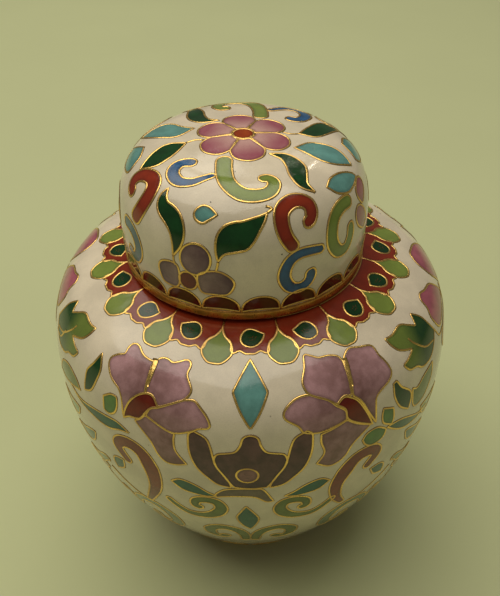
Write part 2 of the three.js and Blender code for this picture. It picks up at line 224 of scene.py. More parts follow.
class Face:
    """A turned face with a chart on it.

    On the body a chart point is (azimuth in degrees from the front, run in millimetres down the face). On
    the lid it is a flat plan of the run: (to the right, to the front) in millimetres from the crown's middle,
    so its distance from (0, 0) is the run, and its direction is the azimuth.
    """

    def __init__(self, path, start=0.0, shift=0.0, plan=False):
        self.runs = runs_along(path) - start
        self.path = path
        self.shift = shift
        self.plan = plan
        along = np.gradient(path, axis=0)
        along /= np.linalg.norm(along, axis=1)[:, None]
        self.out = np.stack([-along[:, 1], along[:, 0]], axis=1)

    def turn_and_run(self, chart):
        """Azimuth in radians and run, of chart points."""
        u, v = chart[..., 0], chart[..., 1]
        if self.plan:
            return np.arctan2(u, v), np.hypot(u, v)
        return np.radians(u), v

    def place(self, chart, lift=0.0):
        """Points in space, a lift above the face along its outward direction."""
        turn, run = self.turn_and_run(chart)
        radius = np.interp(run, self.runs, self.path[:, 0]) + lift * np.interp(run, self.runs, self.out[:, 0])
        height = np.interp(run, self.runs, self.path[:, 1]) + lift * np.interp(run, self.runs, self.out[:, 1])
        return np.stack([radius * np.sin(turn) + self.shift, -radius * np.cos(turn), height], axis=-1)

    def outward(self, chart):
        """Unit outward directions at chart points."""
        turn, run = self.turn_and_run(chart)
        flat = np.interp(run, self.runs, self.out[:, 0])
        up = np.interp(run, self.runs, self.out[:, 1])
        return np.stack([flat * np.sin(turn), -flat * np.cos(turn), up], axis=-1)

    def sideways(self, chart, closed):
        """Unit directions square to a line of chart points and to the face: the line's direction crossed
        with the outward direction."""
        points = self.place(chart)
        if closed:
            along = np.roll(points, -1, axis=0) - np.roll(points, 1, axis=0)
        else:
            along = np.gradient(points, axis=0)
        side = np.cross(along, self.outward(chart))
        return side / np.maximum(np.linalg.norm(side, axis=1), 1e-9)[:, None]

    def step_of(self, chart, moves):
        """The chart steps that carry chart points by moves in space: least squares on the chart's slopes."""
        h = 0.01
        here = self.place(chart)
        slope_u = (self.place(chart + [h, 0]) - here) / h
        slope_v = (self.place(chart + [0, h]) - here) / h
        uu, uv, vv = (slope_u**2).sum(1), (slope_u * slope_v).sum(1), (slope_v**2).sum(1)
        mu, mv = (slope_u * moves).sum(1), (slope_v * moves).sum(1)
        det = np.maximum(uu * vv - uv * uv, 1e-12)
        return np.stack([(vv * mu - uv * mv) / det, (uu * mv - uv * mu) / det], axis=1)

    def even(self, chart, step, closed=False):
        """A line of chart points with even spacing in space, about a step apart."""
        line = np.vstack([chart, chart[:1]]) if closed else chart
        lengths = np.concatenate([[0], np.cumsum(np.linalg.norm(np.diff(self.place(line), axis=0), axis=1))])
        count = max(12, int(lengths[-1] / step))
        goals = np.linspace(0, lengths[-1], count, endpoint=not closed)
        return np.stack([np.interp(goals, lengths, line[:, k]) for k in range(2)], axis=1)


BODY_PATH = body_path()
ABOVE_BELLY = BODY_PATH[:, 1] > BELLY_HEIGHT
BODY_START = np.interp(PATTERN_START, BODY_PATH[ABOVE_BELLY, 0], runs_along(BODY_PATH)[ABOVE_BELLY])
BODY = Face(BODY_PATH, start=BODY_START)
LID_PATH = lid_path()
LID = Face(LID_PATH, shift=LID_SHIFT, plan=True)


# ----------------------------------------
# Smooth lines through a few points
# ----------------------------------------


STEPS_BETWEEN = 14


def smooth_line(points, closed=False):
    """A Catmull-Rom spline: between two points it is a cubic whose end slopes are half the step from the
    point before to the point after."""
    knots = np.array([p[:2] for p in points], float)
    if closed:
        ends = np.vstack([knots[-1:], knots, knots[:2]])
    else:
        ends = np.vstack([2 * knots[:1] - knots[1:2], knots, 2 * knots[-1:] - knots[-2:-1]])
    t = np.linspace(0, 1, STEPS_BETWEEN, endpoint=False)[:, None, None]
    p0, p1, p2, p3 = ends[:-3], ends[1:-2], ends[2:-1], ends[3:]
    a = 2 * p1 + (p2 - p0) * t
    b = (2 * p0 - 5 * p1 + 4 * p2 - p3) * t**2
    c = (3 * p1 - p0 - 3 * p2 + p3) * t**3
    line = 0.5 * (a + b + c).transpose(1, 0, 2).reshape(-1, 2)
    return line if closed else np.vstack([line, knots[-1:]])


def outline(points):
    """A closed outline. A point with a third value is a corner, and between corners it is smooth."""
    corners = [i for i, p in enumerate(points) if len(p) > 2]
    if not corners:
        return smooth_line(points, closed=True)
    ring = points[corners[0]:] + points[:corners[0]]
    ring.append(ring[0])
    marks = [i for i, p in enumerate(ring) if len(p) > 2]
    return np.vstack([smooth_line(ring[a:b + 1])[:-1] for a, b in zip(marks, marks[1:])])


# ----------------------------------------
# Meshes
# ----------------------------------------


def grid_quads(rows, columns, wrap_rows=False, wrap_columns=False):
    """Corner numbers of a grid's quads, row by row."""
    i = np.arange(rows if wrap_rows else rows - 1)[:, None]
    j = np.arange(columns if wrap_columns else columns - 1)[None, :]
    i2, j2 = (i + 1) % rows, (j + 1) % columns
    corners = (i * columns + j, i * columns + j2, i2 * columns + j2, i2 * columns + j)
    return np.stack(np.broadcast_arrays(*corners), axis=-1).reshape(-1, 4)


class Stock:
    """Meshes that are collected to become one piece, with one number or more kept at each vertex."""

    def __init__(self):
        self.points, self.faces, self.marks, self.count = [], [], {}, 0

    def add(self, points, faces, **marks):
        """Adds points in millimetres, lists of faces on them, and marks such as edge=distances."""
        self.points.append(points.reshape(-1, 3))
        self.faces.extend((part + self.count).tolist() for part in faces)
        for name, values in marks.items():
            spread = np.broadcast_to(values, points.shape[:-1]).reshape(-1)
            self.marks.setdefault(name, []).append(spread)
        self.count += points[..., 0].size

    def piece(self, name, material, body, slot, nodes=(), merge=True):
        """The collected meshes as one object that rides on a body and stands for some nodes."""
        mesh = bpy.data.meshes.new(name)
        faces = [face for part in self.faces for face in part]
        mesh.from_pydata((np.vstack(self.points) * MM).tolist(), [], faces)
        for mark, parts in self.marks.items():
            layer = mesh.attributes.new(mark, "FLOAT", "POINT")
            layer.data.foreach_set("value", np.concatenate(parts).astype(np.float32))
        if merge:
            clean(mesh)
        mesh.polygons.foreach_set("use_smooth", np.ones(len(mesh.polygons), bool))
        mesh.materials.append(material)
        piece = bpy.data.objects.new(name, mesh)
        bpy.context.scene.collection.objects.link(piece)
        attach(piece, body)
        if nodes:
            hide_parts(*nodes)
        return piece


def clean(mesh):
    """Merges doubled vertices, drops faces without area, and turns all faces outwards."""
    work = bmesh.new()
    work.from_mesh(mesh)
    bmesh.ops.remove_doubles(work, verts=work.verts, dist=2e-7)
    bmesh.ops.dissolve_degenerate(work, edges=work.edges, dist=1e-8)
    bmesh.ops.recalc_face_normals(work, faces=work.faces)
    work.to_mesh(mesh)
    work.free()


def turned(stock, profile, sectors=192, shift=0.0):
    """Adds a closed profile of (radius, height) turned round the axis: each point goes round in a circle."""
    turn = np.linspace(0, 2 * np.pi, sectors, endpoint=False)[:, None]
    radius, height = profile[:, 0][None, :], profile[:, 1][None, :]
    up = np.broadcast_to(height, (sectors, len(profile)))
    points = np.stack([radius * np.sin(turn) + shift, -radius * np.cos(turn), up], axis=-1)
    stock.add(points, [grid_quads(sectors, len(profile), True, True)])


def layer_profile(path, top, bottom, step=PROFILE_STEP):
    """The closed profile between two depths under a path."""
    return np.vstack([thinned(sunk(path, top), step), thinned(sunk(path, bottom), step)[::-1]])


def floored(path, height):
    """A descending path cut off at a height, and carried on across the floor to the axis."""
    kept = path[path[:, 1] > height]
    radius = np.interp(-height, -path[:, 1], path[:, 0])
    return np.vstack([kept, [radius, height]])


def bowl_profile(path, top, bottom, floor_low, floor_high):
    """The closed profile between two depths under a path, with a flat floor between two heights."""
    outer = floored(thinned(sunk(path, top), PROFILE_STEP), floor_low)
    inner = floored(thinned(sunk(path, bottom), PROFILE_STEP), floor_high)
    return np.vstack([outer, [0, floor_low], [0, floor_high], inner[::-1]])


def rounded(corners, radius, count=5):
    """A closed profile with its corners rounded: each corner becomes a quadratic curve between two points
    that lie a radius along its two sides."""
    corners = np.array(corners, float)
    back = np.roll(corners, 1, axis=0) - corners
    ahead = np.roll(corners, -1, axis=0) - corners
    start = corners + radius * back / np.linalg.norm(back, axis=1)[:, None]
    end = corners + radius * ahead / np.linalg.norm(ahead, axis=1)[:, None]
    t = np.linspace(0, 1, count)[None, :, None]
    curves = (1 - t) ** 2 * start[:, None] + 2 * t * (1 - t) * corners[:, None] + t**2 * end[:, None]
    return curves.reshape(-1, 2)


# ----------------------------------------
# Enamel cells and wires
# ----------------------------------------

CELL_LIFT = 0.04
CELL_SKIRT = -0.15
RINGS = np.array([0.14, 0.28, 0.42, 0.55, 0.67, 0.78, 0.87, 0.94, 1.0])
ACROSS = np.array([-1, -0.8, -0.5, -0.2, 0.2, 0.5, 0.8, 1])
WIRE_WIDTH = 0.34
LINE_STEP = 0.35
# A wire's section: sideways in half widths, lift in millimetres, and how bright its metal is there; the dark
# dull foot is partly oxide and partly painted shadow of the groove beside the wire.
WIRE_SECTION = np.array(
    [
        (-1.5, -0.03, 0.0),
        (-1.05, 0.03, 0.1),
        (-0.85, 0.075, 1.0),
        (-0.4, 0.105, 1.0),
        (0.0, 0.112, 1.0),
        (0.4, 0.105, 1.0),
        (0.85, 0.075, 1.0),
        (1.05, 0.03, 0.1),
        (1.5, -0.03, 0.0),
        (0.0, -0.2, 0.0),
    ]
)


class Pattern:
    """The cells of one face, collected by enamel, and its wires, collected by the part of the pattern."""

    def __init__(self, face, part):
        self.face = face
        self.cells = {}
        self.wires = {}
        self.part = part

    def stock(self, group):
        """The collected cells of one enamel."""
        return self.cells.setdefault(group, Stock())

    def wire(self, line, width=WIRE_WIDTH, closed=False, taper=False, lift=0.0):
        """Lays a wire along a line of chart points: its section is carried along, square to the line. A
        tapered wire keeps its width for a quarter of its length, then narrows evenly to 0.35 of it."""
        line = self.face.even(line, LINE_STEP, closed)
        side = self.face.sideways(line, closed)
        out = self.face.outward(line)
        half = np.full(len(line), width / 2)
        if taper:
            half *= np.interp(np.linspace(0, 1, len(line)), [0, 0.25, 1], [1, 1, 0.35])
        across = half[:, None, None] * side[:, None] * WIRE_SECTION[None, :, :1]
        points = self.face.place(line)[:, None] + across + out[:, None] * (WIRE_SECTION[None, :, 1:2] + lift)
        rows, columns = points.shape[:2]
        faces = [grid_quads(rows, columns, closed, True)]
        if not closed:
            faces += [np.arange(columns)[None], np.arange(columns)[None, ::-1] + (rows - 1) * columns]
        self.wires.setdefault(self.part, Stock()).add(points, faces, crown=WIRE_SECTION[None, :, 2])

    def star(self, group, centre, points, tone=None):
        """A cell whose outline can be seen from its centre: rings between the centre and the outline, the
        outline's points drawn towards the centre by each ring's share."""
        edge = self.face.even(outline(points), LINE_STEP, closed=True)
        middle = np.array(centre, float)
        shares = np.append(RINGS, 1.0)
        chart = middle + (edge[None] - middle) * shares[:, None, None]
        lift = np.append(CELL_LIFT + 0.02 * RINGS**6, CELL_SKIRT)[:, None]
        hub_place = self.face.place(middle[None], CELL_LIFT)
        places = np.concatenate([self.face.place(chart, lift).reshape(-1, 3), hub_place])
        spread = np.linalg.norm(self.face.place(edge) - self.face.place(middle), axis=1)
        depth = np.append(((1 - shares[:, None]) * spread).reshape(-1), spread.mean())
        rings, count = len(shares), len(edge)
        around = np.arange(count)
        hub = np.full(count, rings * count)
        fan = np.stack([hub, around, (around + 1) % count], axis=1)
        tones = self.tones(np.concatenate([chart.reshape(-1, 2), middle[None]]), tone)
        faces = [grid_quads(rings, count, False, True), fan]
        self.stock(group).add(places, faces, edge=depth, tone=tones)
        self.wire(edge, closed=True)

    def band(self, group, spine, half, tone=None):
        """A cell along a spine: each spine point spreads to both sides by its half width."""
        side = self.face.sideways(spine, False)
        step = self.face.step_of(spine, side * half[:, None])
        share = np.concatenate([[-1], ACROSS, [1]])
        chart = spine[:, None] + step[:, None] * share[None, :, None]
        bulge = CELL_LIFT + 0.02 * np.abs(ACROSS) ** 6
        lift = np.concatenate([[CELL_SKIRT], bulge, [CELL_SKIRT]])[None, :]
        depth = half[:, None] * (1 - np.abs(share))[None, :]
        tones = self.tones(chart, tone)
        faces = [grid_quads(*chart.shape[:2])]
        self.stock(group).add(self.face.place(chart, lift), faces, edge=depth, tone=tones)
        self.wire(np.vstack([spine - step, (spine + step)[::-1]]), closed=True)

    def leaf(self, group, points, half, peak=1.0, **more):
        """A band whose half width is sin(pi t^peak) of the way from root to tip."""
        spine = self.face.even(smooth_line(points), LINE_STEP)
        t = np.linspace(0, 1, len(spine))
        self.band(group, spine, np.maximum(half * np.sin(np.pi * t**peak), 0.03), **more)

    def scroll(self, group, points, start, middle, end, **more):
        """A band with round ends: its half width goes from start through middle to end, and falls to
        nothing along a quarter circle at both ends."""
        spine = self.face.even(smooth_line(points), 0.6 * LINE_STEP)
        t = np.linspace(0, 1, len(spine))
        half = np.interp(t, [0, 0.5, 1], [start, middle, end])
        length = np.linalg.norm(np.diff(self.face.place(spine), axis=0), axis=1).sum()
        for distance, cap in ((t * length, start), ((1 - t) * length, end)):
            share = np.clip(distance / cap, 0, 1)
            half = half * np.sqrt(np.clip(1 - (1 - share) ** 2, 0, 1))
        self.band(group, spine, np.maximum(half, 0.03), **more)

    def tones(self, chart, tone):
        """0 to 1 across a cell, from one chart point to another; one half where no points are given."""
        if tone is None:
            return np.full(chart.shape[:-1], 0.5)
        start, end = np.array(tone[0], float), np.array(tone[1], float)
        way = end - start
        return np.clip(((chart - start) @ way) / (way @ way), 0, 1)


def changed(value, change):
    """Chart points inside a value, or inside its lists and tuples, passed through a change."""
    if isinstance(value, tuple) and len(value) in (2, 3) and all(isinstance(v, (int, float)) for v in value):
        return change(value)
    if isinstance(value, (list, tuple)):
        return type(value)(changed(v, change) for v in value)
    return value


def draw(pattern, motifs, change=lambda p: p):
    """Draws motifs, each (method, group, arguments, named arguments), with their chart points changed."""
    for method, group, places, sizes, more in motifs:
        arguments = [changed(place, change) for place in places]
        named = {k: changed(v, change) if k == "tone" else v for k, v in more.items()}
        getattr(pattern, method)(group, *arguments, *sizes, **named)


def star(group, centre, points, **more):
    return ("star", group, (centre, points), (), more)


def leaf(group, points, half, peak=1.0, **more):
    return ("leaf", group, (points,), (half, peak), more)


def scroll(group, points, start, middle, end, **more):
    return ("scroll", group, (points,), (start, middle, end), more)


def oval(centre, half_u, half_v, count=10, turn=0.0):
    """Points of an oval: cosine and sine of even angles, turned by an angle in degrees."""
    a = 2 * np.pi * np.arange(count) / count
    c, s = math.cos(math.radians(turn)), math.sin(math.radians(turn))
    x, y = half_u * np.cos(a), half_v * np.sin(a)
    return [(centre[0] + float(c * p - s * q), centre[1] + float(s * p + c * q)) for p, q in zip(x, y)]


# ----------------------------------------
# The body's pattern: (azimuth in degrees, run in millimetres)
# ----------------------------------------

LOBES = 16
LOBE_STEP = 360 / LOBES


def mirrored(points):
    """Half an outline given from top to bottom, closed by its mirror image about azimuth 0."""
    other = [(-p[0], *p[1:]) for p in reversed(points) if p[0]]
    return points + other


def moved(points, turn=0.0, run=0.0, hand=1):
    """Chart points shifted by a turn and a run, and mirrored to the left where the hand is -1."""
    return [(hand * (p[0] + turn), p[1] + run, *p[2:]) for p in points]


# What stands on the middle line of the front.
MIDDLE = [
    star("turquoise", (0, 13.3), mirrored([(0, 8, 1), (2.5, 10.6), (4.7, 13.3, 1), (2.6, 16.2),
        (0, 19, 1)])),
    star("lotus", (0, 27.4), mirrored([(0, 20.1), (1.8, 20.6), (2.6, 22.2), (3.9, 23.4), (6, 23.8),
        (8.2, 24.2), (9, 25.6), (8.3, 27.2), (6.9, 28.8), (5.3, 30.8), (4.2, 32, 1), (0, 32.3)]),
        tone=((0, 34), (0, 21))),
    star("lotus_band", (-1.5, 33.7), [(-8.8, 34.4), (-6.5, 32.9), (-2.9, 32.4), (1.1, 32.4), (3.3, 32.8),
        (6, 36.4, 1), (4.1, 36.5), (1.1, 34.9), (-2.9, 34.7), (-6.6, 35), (-9.2, 35.6, 1)]),
    star("teal", (-0.5, 42.9), [(-1.2, 38, 1), (0.9, 40.4), (2.3, 43), (1.4, 46), (0, 48.2, 1),
        (-2.4, 45.8), (-3.8, 42.5), (-2.6, 40)]),
    star("seed", (-0.8, 28.8), oval((-0.8, 28.8), 2.75, 1.75, 12)),
]

# On both sides of the middle line, given for the right.
BOTH = [
    star("lotus", (11.3, 27), [(14, 20.2, 1), (15.3, 20.9), (15.4, 22.6), (15.2, 24.4), (14.4, 26.5),
        (13.1, 28.3), (10.9, 30), (8.3, 31.6), (4.8, 32.2, 1), (5.3, 30.8), (6.9, 28.8), (8.3, 27.2),
        (9, 25.6), (9.9, 22.7), (11.1, 21.1)], tone=((8, 33), (15, 21))),
    star("teal", (15.5, 34), [(20.9, 33.4, 1), (18.5, 32.2), (15.9, 32.4), (13.4, 33.2), (11.2, 34.3),
        (8.6, 35.2, 1), (11.6, 35.6), (14.6, 35.5), (18.1, 35)]),
    scroll("scroll_green", [(23.4, 39.5), (21, 41.5), (17.5, 43.2), (13, 43), (9.5, 41.5), (7.9, 39.3),
        (9, 37.3), (11.8, 36.9), (14.6, 37.8), (15, 39.6), (12.8, 40)], 0.6, 1.2, 0.75),
    scroll("scroll_green", [(1.6, 58), (1.9, 53), (4, 49.4), (8.4, 48), (12.4, 50), (12.6, 53.6),
        (9.6, 55.2), (7.6, 53)], 0.8, 1.25, 0.95),
    scroll("grey_green", [(40, 53), (36.6, 47.6), (30.4, 45.8), (25.4, 48.4), (24.8, 53.4), (28.6, 57),
        (33, 55.4), (32, 52)], 0.7, 1.4, 1.0),
    scroll("brown_red", [(47, 42), (51, 45), (51.6, 49.6), (47, 52.6), (42.4, 50.6), (43.6, 47.4)], 0.7,
        1.3, 1.0),
    scroll("scroll_green", [(43.6, 38.2), (46, 38.8), (50, 41), (56, 41.4)], 0.6, 1.1, 0.6),
    scroll("blue", [(58, 50), (62, 47), (67, 46.6), (70, 50), (67.4, 53.6), (63.4, 52)], 0.7, 1.2, 0.95),
    leaf("green", [(54, 29.5), (60, 32), (68, 31.5)], 1.7, 0.9),
    leaf("teal", [(47, 32), (52.5, 35.5), (60, 36.5)], 1.4, 0.9),
]

# The big flowers: an outer, an inner, a side and a lower petal round a heart, with leaves and a hook.
LEFT = [
    star("lavender", (-34.2, 14.8), [(-33.8, 22.3, 1), (-34.8, 19.3), (-36.4, 17.7), (-39.6, 16.7),
        (-41.8, 15.3), (-42.5, 14.1), (-41.3, 13.1), (-38.9, 12.2, 1), (-39.2, 11.1), (-38.6, 10.2),
        (-36.6, 10), (-33.4, 11), (-30.4, 11.3), (-29.3, 11.2, 1), (-28.4, 16.3, 1), (-30.5, 17.2),
        (-32.4, 18.8), (-33.5, 20.8)], tone=((-30, 17), (-39, 12))),
    star("lavender", (-23, 13.6), [(-28.6, 11, 1), (-27.5, 10.3), (-25.6, 10.1), (-23.6, 10.4),
        (-21.5, 9.9), (-20, 9.4), (-18.5, 9.5), (-17.9, 10.3), (-18.1, 11.7), (-16, 13.6), (-16.2, 14.6),
        (-17.3, 15.5, 1), (-20.1, 16.4), (-23.9, 17.7, 1), (-25.9, 16.3), (-28.2, 16.2, 1)],
        tone=((-27, 17), (-19, 11))),
    star("lavender", (-18.6, 18.7), [(-17.3, 15.5, 1), (-14.6, 15.3), (-12.3, 16.5), (-10.9, 17.5),
        (-10, 18.8), (-10.7, 19.4), (-12.9, 19.7), (-14.8, 20.4), (-18.7, 21.4), (-21.4, 21.2),
        (-27.1, 19.8, 1), (-26, 18.4), (-23.9, 17.8, 1), (-20.1, 16.4)], tone=((-26, 19), (-13, 18))),
    # Lower petal: its tone runs from deep at the hanging tip to pale towards the top, which paints the shade
    # of the lower body.
    star("lavender", (-23.5, 23.1), [(-19, 21.6, 1), (-19.2, 23.1), (-18.7, 25.2), (-16, 27.7, 1),
        (-19.1, 28.5), (-21.8, 28.5), (-23.8, 27.2), (-25, 25.5), (-26.3, 24.2), (-30.2, 21.7, 1),
        (-28.7, 21), (-27.3, 19.9, 1), (-24.6, 20.5), (-21.4, 21.3)], tone=((-21, 26), (-36, 12))),
    star("heart", (-30, 19.3), [(-33.8, 22.3, 1), (-33.5, 20.8), (-32.4, 18.8), (-30.5, 17.2),
        (-28.2, 16.3), (-25.9, 16.3), (-23.9, 17.8, 1), (-26, 18.4), (-27.1, 19.3), (-28.7, 20.9),
        (-32, 21.5)]),
    star("green", (-38.6, 21.4), [(-41.2, 20.6, 1), (-38.8, 19.4), (-36.5, 19.2, 1), (-36.2, 21),
        (-37, 22.5), (-38.9, 23.4), (-40.8, 23.2, 1)]),
    leaf("teal", [(-58, 25.6), (-52, 26.5), (-46, 26.2), (-40, 25.7), (-36, 25), (-32.2, 25.2)], 1.25, 1.7),
    star("scroll_green", (-58.5, 24.2), [(-51.6, 24, 1), (-54, 22.4), (-59, 21.8), (-64, 23.4),
        (-67, 26.6, 1), (-61.5, 26.4)]),
    leaf("teal", [(-36.2, 33.9), (-38.4, 35.7), (-40, 38.2)], 1.3),
    star("dark_green", (-47, 19), [(-46, 14.3, 1), (-44.1, 16.5), (-44.5, 18.7), (-46.2, 21.4),
        (-49.2, 22.7, 1), (-49.2, 20), (-49, 18.4), (-47.3, 16.5)]),
    scroll("brown_red", [(-33.4, 33.5), (-35.4, 32), (-37, 30.2), (-35.4, 28.5), (-32.1, 27.9), (-29, 28.8),
        (-27, 31.4), (-26.2, 34.6), (-26.7, 38), (-28.8, 41.6), (-31.2, 45)], 0.9, 1.7, 0.5),
]
RIGHT = [
    star("lavender", (34.4, 14.6), [(33.4, 23.4, 1), (33.7, 20), (34.6, 18.4), (39.4, 17.2), (41, 16.1),
        (40.6, 14.4), (39.6, 12.8, 1), (39.3, 10.9), (35.7, 10.2), (32, 9.6), (29, 10.6, 1),
        (27.4, 16.6, 1), (29.4, 18), (31.2, 20.6)], tone=((30, 17), (38, 12))),
    star("lavender", (21.6, 12.8), [(28.2, 11, 1), (27.3, 10), (24.5, 9.4), (21.5, 9.3), (19.2, 8.6),
        (17.3, 8.3), (16.2, 10.3), (14.5, 12.5), (15.2, 14.2), (17.1, 15, 1), (20.3, 16), (22.5, 17.1, 1),
        (24.8, 16.2), (27, 16.5, 1)], tone=((26, 17), (18, 10))),
    star("lavender", (16.4, 17.9), [(17.1, 15, 1), (15.2, 14.5), (11.7, 14.8), (8.8, 16.2), (8.6, 17.6),
        (11.9, 19.2), (13.1, 20.4), (16.3, 21), (19.6, 20.9), (24.6, 20.2, 1), (24.6, 18.6),
        (22.3, 17.3, 1), (20.3, 16)], tone=((24, 19), (10, 17))),
    # Lower petal: its tone runs from deep at the hanging tip to pale towards the top, which paints the shade
    # of the lower body.
    star("lavender", (22.4, 23.6), [(17.6, 21.5, 1), (17.6, 23.2), (18.5, 25.6), (16.6, 27.8, 1),
        (20, 29.2), (22.8, 28.9), (24.8, 27.7), (26.7, 25.6), (31.6, 23.2, 1), (27.3, 21.6),
        (24.8, 20.3, 1), (21, 21)], tone=((20, 27), (35, 12))),
    star("heart", (27.6, 19.1), [(32.4, 23.4, 1), (30.9, 20.8), (28.7, 17.9), (26.8, 16.8), (24.8, 16.3),
        (22.4, 17.2, 1), (24.6, 18.3), (24.9, 20), (27.3, 21.4)]),
    star("green", (37.8, 23.6), [(36.1, 21.5, 1), (39.7, 22.7, 1), (39.9, 25), (39.2, 26.2, 1),
        (36.2, 24.7), (35.6, 23)]),
    star("green", (33.3, 26.5), [(29.4, 26, 1), (30.8, 24.9), (34.1, 24.8), (37.3, 26.4, 1), (36.7, 27.8),
        (34.7, 28.5), (32.1, 28.3), (30.3, 27.3)]),
    star("dark_green", (43.7, 21.8), [(40.4, 18.3, 1), (41.8, 18.2), (43.2, 19.8), (46.5, 21.9), (47, 23.6),
        (46, 25.8, 1), (42.2, 23.5), (40.3, 20.8)]),
    star("scroll_green", (52.4, 24), [(47.7, 22, 1), (50, 22.8), (54, 21.9), (59.6, 21.6, 1), (58.6, 24.6),
        (54.6, 27), (50, 27), (48, 25.4)]),
    leaf("teal", [(59, 31.6), (53, 31), (47, 29.4), (42, 27.6), (37.6, 26.2)], 1.1, 1.6),
    leaf("teal", [(34.2, 35.9), (37.2, 37.2), (40, 39.8)], 1.3),
    scroll("brown_red", [(31.6, 34.4), (33.4, 33), (35, 31.5), (33.6, 30.1), (30.4, 29.6), (27.4, 30.4),
        (24.9, 32.9), (23.3, 36.2), (24.3, 40.3), (27.3, 43.9)], 0.9, 1.7, 0.5),
]

# A two-coloured leaf with five tips, and its rib; the left one stands further round and lower.
MAPLE = [
    (44.9, 11.4, 1), (48.1, 11.6), (53, 11.3), (56, 12.5), (58.1, 13.5, 1), (60.2, 11.6, 1), (62.4, 13.3),
    (63.6, 15.5), (64.9, 17.3, 1), (61.2, 19.5), (57.9, 20.4), (53.5, 20), (50.9, 18.8), (47.7, 18.2),
    (45.8, 16.7, 1), (48.5, 16.4), (51.6, 15.6, 1), (47.1, 14.3), (45.4, 12.9),
]
MAPLE_RIB = [
    (52.1, 13.8), (53.3, 15.2), (57.2, 17.5), (62.3, 18.4),
]
MAPLE_MOVE = {1: (0, 0), -1: (9, 0.8)}
# The maple leaf's centre, and the points where it is darkest and lightest.
MAPLE_TONE = ((56.5, 16.2), (57, 15.6), (51.5, 14.4))

# The broad wire in the notch between a big flower's upper petals.
NOTCH = [(28.9, 10.7), (28.3, 13), (28, 15.2)]
NOTCH_WIDTH = 0.85
NOTCH_LIFT = 0.04

# The pink flower at each side, given for the right.
SIDE = [
    star("pink", (74.6, 15.8), [(84, 17.4, 1), (81, 14.6), (78.8, 13.3), (74.3, 12.5), (71.4, 11.8),
        (68.9, 12.3), (68, 14), (66.6, 15.8), (69.5, 18.8), (76, 18.6)], tone=((83, 17), (70, 13))),
    star("pink", (94, 13.6), [(90.3, 10, 1), (93, 10.2), (99, 12), (102.6, 15.2), (98.6, 17.2), (93, 17.6),
        (88.6, 17.6, 1), (85.4, 14.6), (85.3, 12.4), (87, 10.8)], tone=((89, 17), (98, 12))),
    star("pink", (77.6, 22.6), [(85, 20.4, 1), (79, 19.9), (72.4, 20.6), (70.6, 23), (74.4, 25.6),
        (80.6, 25.4), (84.2, 23)], tone=((84, 20), (72, 24))),
    star("pink", (96.4, 21.6), [(89.6, 19.2, 1), (95, 18.9), (101.6, 19.2), (103.6, 22), (99.6, 24.8),
        (93, 24.6), (89.8, 22.4)], tone=((90, 19), (102, 23))),
    star("heart", (87, 20), [(86.2, 17.4, 1), (88.8, 18.4), (89.4, 20.6), (87.2, 23.4, 1), (84.8, 21),
        (84.6, 18.8)]),
    leaf("green", [(85, 26.6), (80, 28.6), (75, 31.6)], 1.6, 0.9),
    leaf("green", [(89.6, 26.6), (95, 28), (101, 31)], 1.6, 0.9),
    leaf("dark_green", [(82, 32.4), (78, 35.6), (76.6, 40)], 1.5, 0.9),
    leaf("dark_green", [(93, 32.4), (97.6, 35.6), (99, 40)], 1.5, 0.9),
    scroll("blue", [(84.6, 32), (84.4, 38), (81.4, 43), (76.6, 44), (74.6, 47.6), (78, 50), (80.6, 47.6)],
        0.7, 1.2, 0.95),
    scroll("blue", [(90.4, 32), (90.6, 38), (93.6, 43), (98.4, 44), (100.4, 47.6), (97, 50), (94.4, 47.6)],
        0.7, 1.2, 0.95),
    scroll("scroll_green", [(85.6, 68), (84, 64.4), (80, 61.6), (75, 61.2), (71.4, 63.8), (73.4, 66.8),
        (77, 66)], 0.6, 1.2, 0.9),
    scroll("scroll_green", [(89.4, 68), (91, 64.4), (95, 61.6), (100, 61.2), (103.6, 63.8), (101.6, 66.8),
        (98, 66)], 0.6, 1.2, 0.9),
    leaf("teal", [(64, 58), (58, 60.4), (53, 64.6)], 1.4, 0.9),
    star("turquoise", (87.5, 57), [(87.5, 52, 1), (90.9, 56.6, 1), (87.5, 62, 1), (84.1, 56.6, 1)]),
]
SIDE_MOVE = {1: 0, -1: 10}

# Loose wires that join the motifs.
TENDRILS = [
    [(64.9, 17.3), (67.5, 19.8), (72, 20.2)],
    [(29.5, 45), (34, 44.6), (39, 42.8), (44, 40.4)],
]

# The band round the foot: half circles that stand on the foot, as on the lid's rim.
FOOT_LAPPETS = 20
FOOT_LAPPET_TOP = 71.5
FOOT_LAPPET_CENTRE = 75.6
FOOT_LAPPET_GAP = 0.7
# One side of a half circle, from the foot up: share of its half width, run, and 1 at a corner.
FOOT_LAPPET_SIDE = [(1, 78, 1), (0.9, 74.4), (0.55, 72.1)]


def shoulder_band(pattern):
    """The red lappets, the dark green drops on them and the light green lobes between them, all round."""
    half = LOBE_STEP / 2
    side = [(0, 7, 1), (1.6, 7), (3.6, 6.5), (5.5, 7), (6.6, 6.5), (6.9, 5.3), (9.2, 4.2)]
    side += [(half, 2.6, 1), (half, 0.3, 1)]
    lappet = mirrored(side)
    lobe = mirrored([(0, 2.7, 1), (1.6, 4), (4, 4.9), (5.2, 6.4), (4.8, 7.6), (2.4, 8.9), (0, 9.1)])
    drop = [(5.6, 3.4, 1), (4.4, 4.6), (2.4, 5.5), (0.2, 5.8)]
    drop += [(-2.6, 5.3), (-3.6, 4.1), (-2.3, 2.8), (0.7, 2.4)]
    for k in range(LOBES):
        middle = k * LOBE_STEP
        tip = -1 if k % 2 else 1
        pattern.star("red", (middle, 3.6), moved(lappet, middle))
        pattern.star("dark_green_over", (middle + tip, 4.1), [(middle + tip * p[0], *p[1:]) for p in drop])
        pattern.star("light_green", (middle + half, 6.6), moved(lobe, middle + half))


